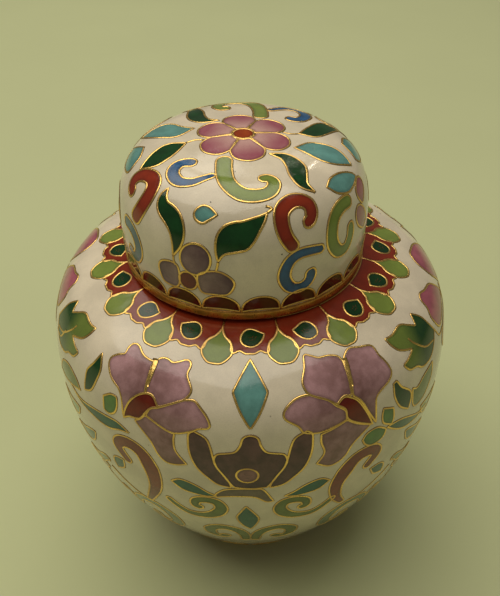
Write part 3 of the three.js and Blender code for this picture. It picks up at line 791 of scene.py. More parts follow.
def one_side(pattern, turn, hand):
    """What a side of the front has besides its flower: the maple leaf with its rib, the notch of the flower's
    upper petals and the tendrils."""
    out, down = MAPLE_MOVE[hand]
    centre, dark, light = (moved([p], out, down, hand)[0] for p in MAPLE_TONE)
    edge = moved(MAPLE, out, down, hand)
    draw(pattern, [star("two_green", centre, edge, tone=(dark, light))], lambda p: (turn + p[0], *p[1:]))

    def laid(points):
        return smooth_line([(turn + hand * u, v) for u, v in points])

    pattern.wire(laid(moved(MAPLE_RIB, out, down)))
    pattern.wire(laid(NOTCH), NOTCH_WIDTH, taper=True, lift=NOTCH_LIFT)
    for line in TENDRILS:
        pattern.wire(laid(line))


def foot_band(pattern):
    """Half circles that stand on the foot, all round."""
    step = 360 / FOOT_LAPPETS
    half = step / 2 - FOOT_LAPPET_GAP
    rising = [(-share * half, run, *corner) for share, run, *corner in FOOT_LAPPET_SIDE]
    falling = [(-p[0], *p[1:]) for p in reversed(rising)]
    arc = rising + [(0, FOOT_LAPPET_TOP)] + falling
    for k in range(FOOT_LAPPETS):
        middle = (k + 0.5) * step
        pattern.star("red", (middle, FOOT_LAPPET_CENTRE), moved(arc, middle))


def body_pattern():
    """Every cell and wire of the body: the front, its twin at the back, the two sides and the foot band."""
    pattern = Pattern(BODY, "shoulder")
    shoulder_band(pattern)
    for pattern.part, turn in (("front", 0), ("back", 180)):
        for motifs in (MIDDLE, BOTH, LEFT, RIGHT):
            draw(pattern, motifs, lambda p: (turn + p[0], *p[1:]))
        draw(pattern, BOTH, lambda p: (turn - p[0], *p[1:]))
        for hand in (1, -1):
            one_side(pattern, turn, hand)
    pattern.part = "sides"
    for hand in (1, -1):
        draw(pattern, SIDE, lambda p: (hand * (p[0] + SIDE_MOVE[hand]), *p[1:]))
    pattern.part = "foot"
    foot_band(pattern)
    return pattern


# ----------------------------------------
# The lid's pattern: (to the right, to the front) in millimetres of run from the crown's middle
# ----------------------------------------

PETALS = 6
PETAL_TURN = 8.0
RIM_LAPPETS = 21
RIM_LAPPET_TURN = 7.5
RIM_LAPPET_HEIGHT = 3.0
RIM_LAPPET_GAP = 0.2
# One side of a half circle, from the rim up: shares of its half width and its height, and 1 at a corner.
RIM_LAPPET_SIDE = [(1, 0, 1), (0.86, 0.53), (0.5, 0.88)]

# Drawn once as given and once turned half round.
LID_HALF = [
    # crown
    scroll("light_green", [(-2.9, 6.6), (-2.9, 10.3), (-2.2, 13.3), (-0.4, 15.4), (1.9, 15.8), (4, 15),
        (4.7, 13.2), (3.8, 12), (2.4, 12.4)], 1.25, 1.25, 0.8),
    scroll("blue", [(-7.3, 8), (-8.5, 7.4), (-9.8, 7.6), (-10.7, 8.9), (-10.7, 10.5), (-9.7, 12),
        (-7.8, 12.5), (-6.1, 11.9), (-4.2, 11)], 1.0, 1.0, 0.5),
    leaf("dark_green", [(4.1, 5.8), (6.6, 6.4), (8.1, 8.4), (8.5, 11), (9.2, 12.8), (11.1, 13.8)], 1.5,
        1.0),
    star("dark_green", (-12.8, 4.2), [(-9.2, 1.5, 1), (-12, 1.1), (-14.2, 2.9), (-16.7, 6.6, 1),
        (-13.8, 7.2), (-12, 6), (-10.4, 3.8)]),
    star("turquoise", (12.8, 3.9), [(8.2, 3.4, 1), (10.8, 1.2), (13.6, 1.4), (15.9, 2.6), (17.8, 4.8, 1),
        (14.8, 6.5), (12.4, 6.4), (10.2, 4.7)]),
    star("turquoise", (15.9, 9.6), [(13, 12.2, 1), (13.6, 10.2), (15.2, 8.3), (17.4, 6.8), (18.7, 6.5, 1),
        (18.4, 8.6), (17.3, 10.9), (15.1, 12.3)]),
    star("turquoise", (18.8, -1.2), [(16.4, -0.4, 1), (17, -3.4), (19.4, -4.8), (20.8, -2), (20.4, 0.8),
        (19, 2.2, 1)]),
    # side wall, right of the front
    scroll("brick", [(9.5, 23.4), (7.3, 21.8), (6.1, 19.8), (6, 17.9), (7.1, 16.4), (8.5, 15.8), (10, 16),
        (10.8, 17.2), (10.6, 18.5), (9.6, 18.8)], 1.0, 1.15, 0.95),
    scroll("blue", [(15.5, 21.5), (13, 22.6), (10.5, 23.8), (9, 25.3), (8.5, 27.2), (9, 28.8), (10.8, 29.9),
        (13.1, 29.6), (14.8, 28.2), (15, 26.6), (13.8, 25.9)], 0.7, 1.0, 0.95),
    scroll("light_green", [(18.2, 11.6), (16.4, 13.8), (15.5, 16.1), (15.9, 18.3), (17.5, 20.1), (20, 20.3),
        (21.8, 18.7), (21.6, 16.7), (20.6, 15.5), (19.5, 15.6)], 1.0, 1.15, 0.9),
    leaf("dark_green", [(28.6, -7.4), (26, -4.6), (25.6, -1), (27.4, 2.6)], 1.5, 0.95),
    star("turquoise", (30.4, -1.6), oval((30.4, -1.6), 1.2, 1.2, 8)),
    star("pink", (20.3, 8), [(18.9, 6.9), (19.8, 5.8), (21.3, 6.4), (22.2, 9.2), (20.2, 10), (19, 9.2)],
        tone=((21, 10), (20, 6))),
    star("pink", (23.4, 11.2), [(20.6, 11.2), (22.6, 9.7), (25.8, 9.1), (26.1, 11.4), (23.3, 13.3),
        (21, 13)], tone=((21, 11), (26, 11))),
    # side wall, left of the front
    leaf("dark_green", [(-11.4, 12.8), (-12.4, 14), (-12.6, 15.6), (-11.4, 17.8), (-11.1, 19.8),
        (-11.9, 21.7), (-13.6, 23.3)], 1.5, 0.95),
    star("dark_green", (-1.2, 22.3), [(3.7, 18.5, 1), (2.5, 19.1), (0, 19.9), (-1.2, 20), (-2.9, 20.5),
        (-4.2, 21.8), (-4.8, 23.9), (-4.7, 26, 1), (-3.5, 24.9), (-1.4, 24.6), (0.6, 24.2), (1.8, 23),
        (2.8, 21.1), (3.4, 19.8)]),
    star("turquoise", (-6.2, 18.4), [(-6.2, 17.1), (-5, 17.5), (-3.9, 18.8, 1), (-5.2, 19.4), (-6.4, 19.7),
        (-7.4, 18.9), (-7.4, 17.8)]),
    scroll("brick", [(-20.5, 14.1), (-17.6, 13.7), (-15.2, 12.7), (-14, 11), (-14.5, 9.3), (-16.2, 8),
        (-17.9, 8), (-18.7, 9.1), (-18.3, 10.4)], 1.25, 1.25, 0.95),
    scroll("grey_blue", [(-23.9, 11.1), (-22.4, 14.1), (-22.3, 16.7), (-23.6, 18.4), (-25.9, 18.2),
        (-26.9, 16.4), (-26.2, 15)], 1.0, 1.15, 0.85),
    star("mauve", (-9.2, 25), oval((-9.2, 25), 3.2, 2.7, 12, 8), tone=((-7, 23), (-11.5, 27))),
    star("mauve", (-16.6, 26.2), [(-18.7, 23.6), (-16.7, 23.2), (-13.7, 24.8), (-14.2, 27.2), (-15.8, 28.6),
        (-18.1, 27.5), (-19.4, 26)], tone=((-19, 24.5), (-14, 27))),
    star("mauve", (-6.3, 30.2), [(-9.3, 27.6), (-5.2, 27.6), (-2.5, 29.1), (-2, 30.6), (-3.8, 32.2),
        (-7.4, 31.8), (-9.7, 31.1), (-10.2, 29.7)], tone=((-2.5, 30), (-9.5, 29))),
    star("heart", (-12.4, 28.3), oval((-12.4, 28.3), 2.3, 1.7, 10, 20)),
]
LID_STEMS = [
    [(-9.2, 1.5), (-7.8, 1), (-6.4, 1.3)],
    [(3.7, 18.5), (4.4, 17.8), (3.4, 17.5)],
    [(-4.7, 26), (-5, 26.8), (-5.4, 27.5)],
    [(-13.6, 23.3), (-13.9, 24), (-13.9, 24.9)],
]


def on_lid(azimuth, run):
    """A chart point of the lid from an azimuth in degrees and a run."""
    turn = math.radians(azimuth)
    return (run * math.sin(turn), run * math.cos(turn))


def lid_flower(pattern):
    """Six petals round a core: each a rounded sector from the core out to the tip."""
    side = [(26, 1.9, 1), (29, 3.8), (28.6, 5.7), (17, 7.3)]
    shape = [(-p[0], *p[1:]) for p in side] + [(0, 7.9)] + side[::-1] + [(0, 1.9)]
    for k in range(PETALS):
        middle = PETAL_TURN + k * 360 / PETALS
        points = [(*on_lid(middle + p[0], p[1]), *p[2:]) for p in shape]
        tone = (on_lid(middle, 6.4), on_lid(middle, 2.4))
        pattern.star("petal_pink", on_lid(middle, 4.6), points, tone=tone)
    pattern.star("core", (0, 0), oval((0, 0), 1.7, 1.7, 12), tone=((-3, 0), (3, 0)))


def lid_rim_lappets(pattern):
    """Dark red half circles that stand on the rim, all round."""
    edge = LID.runs[-1]
    half = 180 / RIM_LAPPETS - RIM_LAPPET_GAP
    rising = [(-u * half, edge - v * RIM_LAPPET_HEIGHT, *corner) for u, v, *corner in RIM_LAPPET_SIDE]
    falling = [(-p[0], *p[1:]) for p in reversed(rising)]
    arc = rising + [(0, edge - RIM_LAPPET_HEIGHT)] + falling
    for k in range(RIM_LAPPETS):
        middle = RIM_LAPPET_TURN + k * 360 / RIM_LAPPETS
        points = [(*on_lid(middle + p[0], p[1]), *p[2:]) for p in arc]
        pattern.star("dark_red", on_lid(middle, edge - 0.35 * RIM_LAPPET_HEIGHT), points)


def lid_pattern():
    """Every cell and wire of the lid: the crown's flower, the two equal halves and the rim's half circles."""
    pattern = Pattern(LID, "crown")
    lid_flower(pattern)
    pattern.part = "rim"
    lid_rim_lappets(pattern)
    for half, pattern.part in ((1, "front"), (-1, "back")):
        draw(pattern, LID_HALF, lambda p: (half * p[0], half * p[1], *p[2:]))
        for stem in LID_STEMS:
            pattern.wire(smooth_line([(half * x, half * y) for x, y in stem]))
    return pattern


# ----------------------------------------
# Finishes
# ----------------------------------------


class Term:
    """A shader socket that can be used in sums: 1 - mask adds the Math node for it."""

    def __init__(self, finish, socket):
        self.finish, self.socket = finish, socket

    def _math(self, operation, first, second):
        return self.finish.node("ShaderNodeMath", {0: first, 1: second}, operation=operation)

    def __add__(self, other):
        return self._math("ADD", self, other)

    def __sub__(self, other):
        return self._math("SUBTRACT", self, other)

    def __rsub__(self, other):
        return self._math("SUBTRACT", other, self)

    def __mul__(self, other):
        return self._math("MULTIPLY", self, other)

    __radd__ = __add__
    __rmul__ = __mul__

    def between(self, start, end):
        """0 below start, 1 above end, and smooth between them."""
        sockets = {0: self, 1: start, 2: end, 3: 0.0, 4: 1.0}
        return self.finish.node("ShaderNodeMapRange", sockets, interpolation_type="SMOOTHSTEP")


class Finish:
    """A material and short ways to add nodes to it."""

    def __init__(self, name):
        self.material = bpy.data.materials.new(name)
        self.material.use_nodes = True
        self.tree = self.material.node_tree
        self.shader = self.tree.nodes["Principled BSDF"]

    def node(self, kind, inputs=None, output=0, **settings):
        """Adds a node: its settings first, then values or links of its sockets."""
        node = self.tree.nodes.new(kind)
        for name, value in settings.items():
            setattr(node, name, value)
        for name, value in (inputs or {}).items():
            self.feed(node.inputs[name], value)
        return Term(self, node.outputs[output])

    def feed(self, socket, value):
        """Links a term to a socket, or sets the socket's own value."""
        if isinstance(value, Term):
            self.tree.links.new(value.socket, socket)
        elif isinstance(value, (tuple, list)) and len(value) == 3 and socket.type == "RGBA":
            socket.default_value = (*value, 1)
        else:
            socket.default_value = value

    def set(self, **values):
        """Sets the shader's sockets by name, with _ for a space."""
        for name, value in values.items():
            self.feed(self.shader.inputs[name.replace("_", " ")], value)

    def place(self):
        """Object coordinates."""
        return self.node("ShaderNodeTexCoord", output="Object")

    def mark(self, name):
        """A number kept at each vertex."""
        return self.node("ShaderNodeAttribute", output="Fac", attribute_name=name)

    def noise(self, scale, detail, roughness):
        """Noise from 0 to 1 with features of 1/scale metres."""
        sockets = {"Vector": self.place(), "Scale": scale, "Detail": detail, "Roughness": roughness}
        return self.node("ShaderNodeTexNoise", sockets)

    def mix(self, share, first, second):
        """A colour mix."""
        return self.node("ShaderNodeMix", {0: share, 6: first, 7: second}, output=2, data_type="RGBA")

    def bump(self, height, strength, distance):
        """Turns a height into a normal."""
        return self.node("ShaderNodeBump", {"Height": height, "Strength": strength, "Distance": distance})


def enamel(name, deep, pale, cloud=0.5, cloud_scale=420.0, rough=0.08, pits=0.0, marked=True):
    """Glass enamel: cloudy between a deep and a pale colour, darker along its wires as painted shade, finely
    speckled, with polishing marks, a slightly uneven surface and, where asked, a few black pits."""
    f = Finish(name)
    clouds = f.noise(cloud_scale, 3.0, 0.55).between(0.32, 0.68)
    share = clouds * cloud
    if marked:
        share = f.mark("tone") * (1 - cloud) + share
    colour = f.mix(share, deep, pale)
    speckle = f.noise(5200.0, 2.0, 0.6).between(0.35, 0.75)
    colour = f.mix(speckle * 0.16, colour, tuple(0.55 * c for c in deep))
    if marked:
        # Painted shade: the colour darkens towards the wires, where the enamel curves up to meet them.
        painted_wire_shade = 1 - f.mark("edge").between(0.12, 0.75)
        colour = f.mix(painted_wire_shade * 0.45, colour, tuple(0.42 * c for c in deep))
    wave = f.noise(260.0, 2.0, 0.5)
    height = wave * 0.6 + speckle * 0.05
    scratches = f.noise(1500.0, 4.0, 0.7).between(0.3, 0.8)
    roughness = scratches * 0.11 + rough
    if pits:
        sockets = {"Vector": f.place(), "Scale": 330.0, "Randomness": 1.0}
        cells = f.node("ShaderNodeTexVoronoi", sockets, output="Distance")
        chosen = f.noise(120.0, 1.0, 0.4).between(0.47, 0.51)
        pit = (1 - cells.between(0.035, 0.06)) * chosen
        colour = f.mix(pit * pits, colour, (0.05, 0.035, 0.025))
        height = height - pit * 0.8
        roughness = roughness + pit * 0.4
    f.set(Base_Color=colour, Roughness=roughness, IOR=1.42, Coat_Weight=0.2, Coat_Roughness=0.04)
    f.set(Normal=f.bump(height, 0.35, 0.00022))
    return f.material


def brass(name, bright, dull, rough, crowned=False):
    """Gilt brass: bright and dull patches, fine wear marks, and on wires a dark line along the foot, partly
    oxide and partly painted shadow.
    """
    f = Finish(name)
    patches = f.noise(230.0, 3.0, 0.6).between(0.36, 0.72)
    fine = f.noise(2600.0, 3.0, 0.65).between(0.3, 0.75)
    colour = f.mix(patches * 0.55 + fine * 0.12, bright, dull)
    roughness = fine * 0.2 + patches * 0.1 + rough
    if crowned:
        # On wires the foot turns dark brown and dull: partly oxide, partly painted shadow where the wire
        # meets the enamel.
        crown = f.mark("crown").between(0.3, 0.8)
        colour = f.mix(crown, (0.075, 0.035, 0.018), colour)
        f.set(Metallic=crown)
        roughness = roughness + (1 - crown) * 0.2
    else:
        f.set(Metallic=1.0)
    f.set(Base_Color=colour, Roughness=roughness)
    f.set(Normal=f.bump(fine, 0.3, 0.00004))
    return f.material


def floor_finish(colour):
    """Pale paper: faint mottling and fine grain."""
    f = Finish("pale_paper")
    mottle = f.noise(14.0, 3.0, 0.5).between(0.3, 0.7)
    grain = f.noise(1400.0, 2.0, 0.6)
    f.set(Base_Color=f.mix(mottle * 0.35, tuple(colour), tuple(0.93 * c for c in colour)))
    f.set(Roughness=0.9, Specular_IOR_Level=0.2, Normal=f.bump(grain, 0.15, 0.0001))
    return f.material


# ----------------------------------------
# Settings a user may change
# ----------------------------------------


def colour_setting(name, default, description):
    return bpy.props.FloatVectorProperty(
        name=name, description=description, default=default, subtype="COLOR", size=3, min=0, max=1
    )


def number_setting(name, default, unit, description):
    return bpy.props.FloatProperty(name=name, description=description, default=default, unit=unit)


class GingerJarEnamels(bpy.types.PropertyGroup):
    """Colours of the glass enamels."""

    cream: colour_setting("Cream", (0.82, 0.725, 0.55), "Ground of the body and the lid")
    light_green: colour_setting("Light green", (0.20, 0.27, 0.05), "Lobes and scrolls")
    green: colour_setting("Green", (0.09, 0.19, 0.045), "Small leaves")
    dark_green: colour_setting("Dark green", (0.005, 0.042, 0.009), "Long leaves and drops")
    red: colour_setting("Red", (0.23, 0.026, 0.009), "Lappets and hooks")
    dark_red: colour_setting("Dark red", (0.10, 0.009, 0.005), "Half circles and hearts")
    turquoise: colour_setting("Turquoise", (0.13, 0.32, 0.29), "Kites")
    blue: colour_setting("Blue", (0.025, 0.11, 0.26), "Scrolls of the lid")
    lavender: colour_setting("Lavender", (0.37, 0.18, 0.165), "Big flowers")
    pink: colour_setting("Pink", (0.38, 0.10, 0.14), "Flower of the crown")
    lining: colour_setting("Lining", (0.02, 0.17, 0.30), "Inside of the jar and the lid")


class GingerJarMetals(bpy.types.PropertyGroup):
    """Colours of the metals."""

    gilt: colour_setting("Gilt", (0.97, 0.65, 0.19), "Wires, rims, collar and foot")
    tarnish: colour_setting("Tarnish", (0.42, 0.24, 0.10), "Worn and dull places of the gilding")
    copper: colour_setting("Copper", (0.72, 0.33, 0.20), "Sheet under the enamel")


class GingerJarStage(bpy.types.PropertyGroup):
    """Floor, lights and camera."""

    floor: colour_setting("Floor", (0.56, 0.60, 0.34), "Pale paper that the jar stands on")
    key: number_setting("Key", 0.05, "POWER", "Power of the lamp behind the jar")
    fill: number_setting("Fill", 6.2, "POWER", "Power of the soft light above")
    lens: number_setting("Lens", 44.1, "CAMERA", "Focal length")


def enamels():
    return bpy.context.scene.ginger_jar_enamels


def metals():
    return bpy.context.scene.ginger_jar_metals


def shade(colour, factor):
    """A colour made darker or lighter by a factor."""
    return tuple(min(1.0, c * factor) for c in colour)


# ----------------------------------------
# Pieces
# ----------------------------------------


class PieceOperator:
    """What every operator here shares."""

    bl_options = {"REGISTER", "UNDO"}

    def execute(self, context):
        self.build()
        return {"FINISHED"}


def ground_finish(name):
    """Cream enamel with broad faint clouds and black pits."""
    cream = tuple(enamels().cream)
    return enamel(name, shade(cream, 0.84), cream, 1.0, 160.0, 0.07, 0.9, marked=False)


def lining_finish(name):
    """Blue enamel, rougher than the outside."""
    blue = tuple(enamels().lining)
    return enamel(name, shade(blue, 0.7), shade(blue, 1.4), 0.8, 300.0, 0.16, 0.7, marked=False)


def lathe_piece(name, profile, material, body, slot, nodes, shift=0.0, sectors=192):
    """A turned piece from a closed profile."""
    stock = Stock()
    turned(stock, profile, sectors, shift)
    return stock.piece(name, material, body, slot, nodes)


class OBJECT_OT_jar_shells(PieceOperator, bpy.types.Operator):
    """Two spun copper halves, brazed together at the belly"""

    bl_idname = "ginger_jar.jar_shells"
    bl_label = "Jar shells"

    def build(self):
        material = brass("copper_sheet", tuple(metals().copper), shade(metals().copper, 0.5), 0.38)
        upper = BODY_PATH[BODY_PATH[:, 1] >= BELLY_HEIGHT + GAP]
        lower = BODY_PATH[BODY_PATH[:, 1] <= BELLY_HEIGHT - GAP]
        floor = FOOT_HEIGHT + GAP
        bowl = bowl_profile(lower, COPPER_TOP, COPPER_TOP + COPPER, floor, floor + COPPER)
        shoulder = layer_profile(upper, COPPER_TOP, COPPER_TOP + COPPER)
        lathe_piece("upper_copper_shell", shoulder, material, "jar", "copper", ["upper_shell"])
        lathe_piece("lower_copper_shell", bowl, material, "jar", "copper", ["lower_shell"])


class OBJECT_OT_jar_lining(PieceOperator, bpy.types.Operator):
    """Enamel inside the jar and under its base"""

    bl_idname = "ginger_jar.jar_lining"
    bl_label = "Jar lining"

    def build(self):
        material = lining_finish("lining_enamel")
        floor = FOOT_HEIGHT + COPPER + 2 * GAP
        profile = bowl_profile(BODY_PATH, LINING_TOP, WALL, floor, floor + LINING)
        lathe_piece("jar_lining_enamel", profile, material, "jar", "blue_enamel", ["jar_lining"])
        corners = [(0, BASE_LOW), (BASE_RADIUS, BASE_LOW), (BASE_RADIUS, FOOT_HEIGHT), (0, FOOT_HEIGHT)]
        base = rounded(corners, 0.0, 2)
        lathe_piece("base_counter_enamel", base, material, "jar", "blue_enamel", ["base_enamel"])


class OBJECT_OT_neck(PieceOperator, bpy.types.Operator):
    """Gilt collar with its rolled mouth rim"""

    bl_idname = "ginger_jar.neck"
    bl_label = "Neck"

    def build(self):
        material = brass("gilt_collar", tuple(metals().gilt), tuple(metals().tarnish), 0.26)
        inner = COLLAR_RADIUS - COLLAR_WALL
        top = RIM_LOW - GAP
        corners = [(COLLAR_RADIUS, COLLAR_LOW), (COLLAR_RADIUS, top), (inner, top), (inner, COLLAR_LOW)]
        wall = rounded(corners, 0.12)
        lathe_piece("gilt_neck_collar", wall, material, "jar", "gilt", ["neck_collar"])
        bead_inner = 2 * (COLLAR_RADIUS - COLLAR_WALL / 2) - RIM_OUTER
        corners = [(RIM_OUTER, RIM_LOW), (RIM_OUTER, RIM_TOP), (bead_inner, RIM_TOP), (bead_inner, RIM_LOW)]
        bead = rounded(corners, 0.5, 8)
        lathe_piece("rolled_mouth_rim", bead, material, "jar", "gilt", ["mouth_rim"])


class OBJECT_OT_foot(PieceOperator, bpy.types.Operator):
    """Gilt ring that the jar stands on"""

    bl_idname = "ginger_jar.foot"
    bl_label = "Foot"

    def build(self):
        material = brass("gilt_foot", tuple(metals().gilt), tuple(metals().tarnish), 0.26)
        inner = FOOT_RADIUS - FOOT_WIDTH
        under = FOOT_RADIUS - FOOT_LEAN
        corners = [(under, 0), (FOOT_RADIUS, FOOT_HEIGHT), (inner, FOOT_HEIGHT), (inner, 0)]
        ring = rounded(corners, RING_ROUNDING, 6)
        lathe_piece("gilt_foot_ring", ring, material, "jar", "gilt", ["foot_ring"])


class OBJECT_OT_jar_ground(PieceOperator, bpy.types.Operator):
    """Cream enamel that covers the body between the cells"""

    bl_idname = "ginger_jar.jar_ground"
    bl_label = "Jar ground"

    def build(self):
        material = ground_finish("cream_enamel")
        profile = layer_profile(BODY_PATH, 0, ENAMEL, GROUND_STEP)
        nodes = ["jar_ground"]
        lathe_piece("jar_ground_enamel", profile, material, "jar", "white_enamel", nodes, sectors=256)


def enamel_materials():
    """The finish and the slot name of each group of cells."""
    e = enamels()
    table = {
        "light_green": ("light_green_enamel", shade(e.light_green, 0.86), shade(e.light_green, 1.18), 0.5),
        "scroll_green": ("light_green_enamel", shade(e.light_green, 0.5), shade(e.light_green, 0.85), 0.5),
        "grey_green": ("light_green_enamel", shade(e.green, 1.0), (0.28, 0.30, 0.22), 0.5),
        "green": ("dark_green_enamel", shade(e.green, 0.9), shade(e.green, 1.5), 0.5),
        "two_green": ("dark_green_enamel", shade(e.dark_green, 1.2), shade(e.light_green, 0.8), 0.1),
        "dark_green": ("dark_green_enamel", shade(e.dark_green, 0.7), shade(e.dark_green, 1.7), 0.5),
        "dark_green_over": ("dark_green_enamel", shade(e.dark_green, 0.7), shade(e.dark_green, 1.5), 0.5),
        "teal": ("turquoise_enamel", (0.008, 0.075, 0.05), (0.03, 0.15, 0.09), 0.5),
        "turquoise": ("turquoise_enamel", shade(e.turquoise, 0.75), shade(e.turquoise, 1.2), 0.6),
        "red": ("red_enamel", shade(e.red, 0.85), shade(e.red, 1.25), 0.5),
        "brick": ("red_enamel", shade(e.red, 0.85), shade(e.red, 1.35), 0.5),
        "brown_red": ("red_enamel", shade(e.red, 0.65), shade(e.red, 1.15), 0.5),
        "dark_red": ("red_enamel", shade(e.dark_red, 0.7), shade(e.dark_red, 1.3), 0.5),
        "heart": ("red_enamel", shade(e.dark_red, 1.1), shade(e.red, 0.9), 0.5),
        "core": ("red_enamel", (0.27, 0.03, 0.004), (0.42, 0.08, 0.01), 0.8),
        "blue": ("blue_enamel", shade(e.blue, 0.6), shade(e.blue, 1.4), 0.6),
        "grey_blue": ("blue_enamel", (0.04, 0.09, 0.14), (0.12, 0.20, 0.26), 0.6),
        "lavender": ("lavender_enamel", shade(e.lavender, 0.55), (0.54, 0.31, 0.33), 0.42),
        "lotus": ("lavender_enamel", (0.05, 0.024, 0.021), (0.15, 0.070, 0.066), 0.6),
        "lotus_band": ("lavender_enamel", (0.12, 0.085, 0.055), (0.22, 0.16, 0.11), 0.6),
        "seed": ("lavender_enamel", shade(e.lavender, 0.5), shade(e.lavender, 0.9), 0.6),
        "mauve": ("lavender_enamel", (0.09, 0.032, 0.055), (0.33, 0.22, 0.20), 0.3),
        "pink": ("pink_enamel", shade(e.pink, 0.8), shade(e.pink, 1.2), 0.6),
        "petal_pink": ("pink_enamel", shade(e.pink, 0.9), (0.64, 0.40, 0.35), 0.15),
    }
    return {
        group: (slot, enamel(group + "_enamel", deep, pale, cloud))
        for group, (slot, deep, pale, cloud) in table.items()
    }


LID_NODES = {
    "petal_pink": ["lid_petal_%d" % k for k in range(1, PETALS + 1)],
    "turquoise": ["lid_kite_1", "lid_kite_2"],
}
SIDES = ("front", "back")
HANDS = ("left", "right")
BODY_NODES = {
    "red": ["shoulder_band"],
    "light_green": ["shoulder_lobe_%02d" % k for k in range(1, LOBES + 1)],
    "turquoise": [side + "_upper_kite" for side in SIDES],
    "teal": [side + "_lower_kite" for side in SIDES],
    "lotus": [side + "_lotus_" + part for side in SIDES for part in ("left", "middle", "right")],
    "lavender": [
        "_".join((side, hand, petal))
        for side in SIDES
        for hand in HANDS
        for petal in ("outer_petal", "inner_petal", "lower_petal")
    ],
}


def pattern_pieces(pattern, prefix, body, nodes):
    """One piece for each enamel of a pattern, and one for the wires of each of its parts."""
    finishes = enamel_materials()
    for group, stock in pattern.cells.items():
        slot, material = finishes[group]
        stock.piece(prefix + "_" + group + "_cells", material, body, slot, nodes.get(group, ()))
    wire = brass("cell_wire", tuple(metals().gilt), tuple(metals().tarnish), 0.2, crowned=True)
    for part, stock in pattern.wires.items():
        stock.piece("_".join((prefix, part, "wires")), wire, body, "gilt", merge=False)


class OBJECT_OT_jar_pattern(PieceOperator, bpy.types.Operator):
    """Enamel cells and cell wires of the body"""

    bl_idname = "ginger_jar.jar_pattern"
    bl_label = "Jar pattern"

    def build(self):
        pattern_pieces(body_pattern(), "jar", "jar", BODY_NODES)


class OBJECT_OT_lid_shell(PieceOperator, bpy.types.Operator):
    """Copper shell of the lid with its lining and its gilt rim"""

    bl_idname = "ginger_jar.lid_shell"
    bl_label = "Lid shell"

    def build(self):
        copper = brass("lid_copper", tuple(metals().copper), shade(metals().copper, 0.5), 0.38)
        gilt = brass("gilt_lid_rim", (0.66, 0.34, 0.09), (0.26, 0.075, 0.02), 0.22)
        lining = lining_finish("lid_lining_enamel")
        shell = layer_profile(LID_PATH, COPPER_TOP, COPPER_TOP + COPPER)
        inside = layer_profile(LID_PATH, LINING_TOP, WALL)
        lathe_piece("lid_copper_shell", shell, copper, "lid", "copper", ["lid_shell"], LID_SHIFT)
        lathe_piece("lid_lining_enamel", inside, lining, "lid", "blue_enamel", ["lid_lining"], LID_SHIFT)
        inner = LID_RADIUS - WALL
        proud = LID_RADIUS + LID_RIM_PROUD
        corners = [(proud, LID_LOW), (proud, LID_RIM_TOP), (inner, LID_RIM_TOP), (inner, LID_LOW)]
        ring = rounded(corners, RING_ROUNDING, 6)
        lathe_piece("gilt_lid_rim", ring, gilt, "lid", "gilt", ["lid_rim"], LID_SHIFT)


class OBJECT_OT_lid_ground(PieceOperator, bpy.types.Operator):
    """Cream enamel that covers the lid between the cells"""

    bl_idname = "ginger_jar.lid_ground"
    bl_label = "Lid ground"

    def build(self):
        material = ground_finish("lid_cream_enamel")
        profile = layer_profile(LID_PATH, 0, ENAMEL, GROUND_STEP)
        nodes = ["lid_ground"]
        lathe_piece("lid_ground_enamel", profile, material, "lid", "white_enamel", nodes, LID_SHIFT, 224)


class OBJECT_OT_lid_pattern(PieceOperator, bpy.types.Operator):
    """Enamel cells and cell wires of the lid"""

    bl_idname = "ginger_jar.lid_pattern"
    bl_label = "Lid pattern"

    def build(self):
        pattern_pieces(lid_pattern(), "lid", "lid", LID_NODES)


# ----------------------------------------
# Stage
# ----------------------------------------

CAMERA_PLACE = (0.0, -0.1077, 0.14385)
CAMERA_DOWN = 39.73
CAMERA_ROLL = -0.185
SENSOR = 36.0
FLOOR_HALF = 3.0
LAMP_AIM = (0, 0, 0.05)
# Each lamp's place and size in metres, and its colour.
KEY_LAMP = ((0.16, 0.55, 0.52), 0.02, (1.0, 0.88, 0.7))
SOFT_TOP = ((-0.15, 0.13, 0.8), 0.9, (1.0, 0.93, 0.82))
WORLD_COLOUR = (0.88, 0.84, 0.70, 1)
WORLD_STRENGTH = 0.14


def area_light(name, lamp_facts, power):
    """A square lamp, given by its place, size and colour, turned to face the aim."""
    place, size, colour = lamp_facts
    light = bpy.data.lights.new(name, "AREA")
    light.size = size
    light.energy = power
    light.color = colour
    lamp = bpy.data.objects.new(name, light)
    bpy.context.scene.collection.objects.link(lamp)
    way = Vector(LAMP_AIM) - Vector(place)
    lamp.matrix_world = Matrix.Translation(place) @ way.to_track_quat("-Z", "Y").to_matrix().to_4x4()


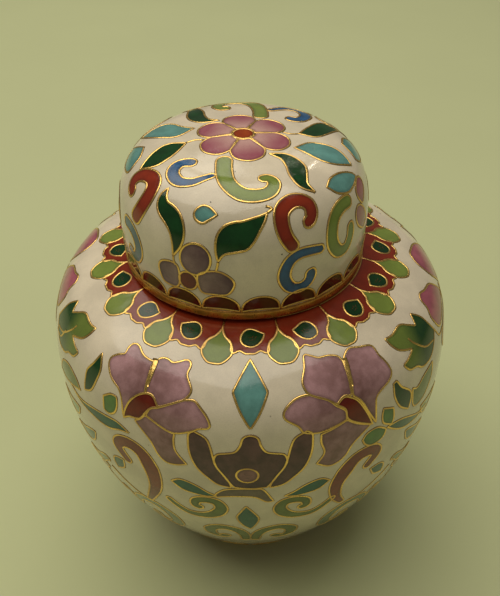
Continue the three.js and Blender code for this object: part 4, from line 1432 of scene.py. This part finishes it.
class OBJECT_OT_stage(PieceOperator, bpy.types.Operator):
    """Pale floor, soft studio light and camera"""

    bl_idname = "ginger_jar.stage"
    bl_label = "Stage"

    def build(self):
        settings = bpy.context.scene.ginger_jar_stage
        mesh = bpy.data.meshes.new("floor")
        corners = [(x * FLOOR_HALF, y * FLOOR_HALF, 0) for x, y in ((-1, -1), (1, -1), (1, 1), (-1, 1))]
        mesh.from_pydata(corners, [], [(0, 1, 2, 3)])
        mesh.materials.append(floor_finish(settings.floor))
        floor = bpy.data.objects.new("floor", mesh)
        bpy.context.scene.collection.objects.link(floor)
        area_light("key_lamp", KEY_LAMP, settings.key)
        area_light("soft_top", SOFT_TOP, settings.fill)
        world = bpy.data.worlds.new("studio")
        world.use_nodes = True
        background = world.node_tree.nodes["Background"]
        background.inputs["Color"].default_value = WORLD_COLOUR
        background.inputs["Strength"].default_value = WORLD_STRENGTH
        bpy.context.scene.world = world
        data = bpy.data.cameras.new("camera")
        data.lens = settings.lens
        data.sensor_width = SENSOR
        camera = bpy.data.objects.new("camera", data)
        bpy.context.scene.collection.objects.link(camera)
        tilt = Matrix.Rotation(math.radians(90 - CAMERA_DOWN), 4, "X")
        roll = Matrix.Rotation(math.radians(CAMERA_ROLL), 4, "Z")
        camera.matrix_world = Matrix.Translation(CAMERA_PLACE) @ tilt @ roll
        bpy.context.scene.camera = camera
        bpy.context.scene.view_settings.view_transform = "Standard"


OPERATORS = (
    OBJECT_OT_stage,
    OBJECT_OT_jar_shells,
    OBJECT_OT_jar_lining,
    OBJECT_OT_neck,
    OBJECT_OT_foot,
    OBJECT_OT_jar_ground,
    OBJECT_OT_jar_pattern,
    OBJECT_OT_lid_shell,
    OBJECT_OT_lid_ground,
    OBJECT_OT_lid_pattern,
)


class VIEW3D_PT_ginger_jar(bpy.types.Panel):
    """Settings and operators of the ginger jar."""

    bl_label = "Ginger jar"
    bl_idname = "VIEW3D_PT_ginger_jar"
    bl_space_type = "VIEW_3D"
    bl_region_type = "UI"
    bl_category = "Ginger jar"

    def draw(self, context):
        scene = context.scene
        for group in (scene.ginger_jar_enamels, scene.ginger_jar_metals, scene.ginger_jar_stage):
            box = self.layout.box()
            for name in group.__annotations__:
                box.prop(group, name)
        for operator in OPERATORS:
            self.layout.operator(operator.bl_idname)


GROUPS = (GingerJarEnamels, GingerJarMetals, GingerJarStage)


def register():
    for cls in (*GROUPS, *OPERATORS, VIEW3D_PT_ginger_jar):
        bpy.utils.register_class(cls)
    bpy.types.Scene.ginger_jar_enamels = bpy.props.PointerProperty(type=GingerJarEnamels)
    bpy.types.Scene.ginger_jar_metals = bpy.props.PointerProperty(type=GingerJarMetals)
    bpy.types.Scene.ginger_jar_stage = bpy.props.PointerProperty(type=GingerJarStage)


def unregister():
    del bpy.types.Scene.ginger_jar_stage
    del bpy.types.Scene.ginger_jar_metals
    del bpy.types.Scene.ginger_jar_enamels
    for cls in reversed((*GROUPS, *OPERATORS, VIEW3D_PT_ginger_jar)):
        bpy.utils.unregister_class(cls)


def main():
    register()
    for operator in OPERATORS:
        space, name = operator.bl_idname.split(".")
        getattr(getattr(bpy.ops, space), name)()


if __name__ == "__main__":
    main()
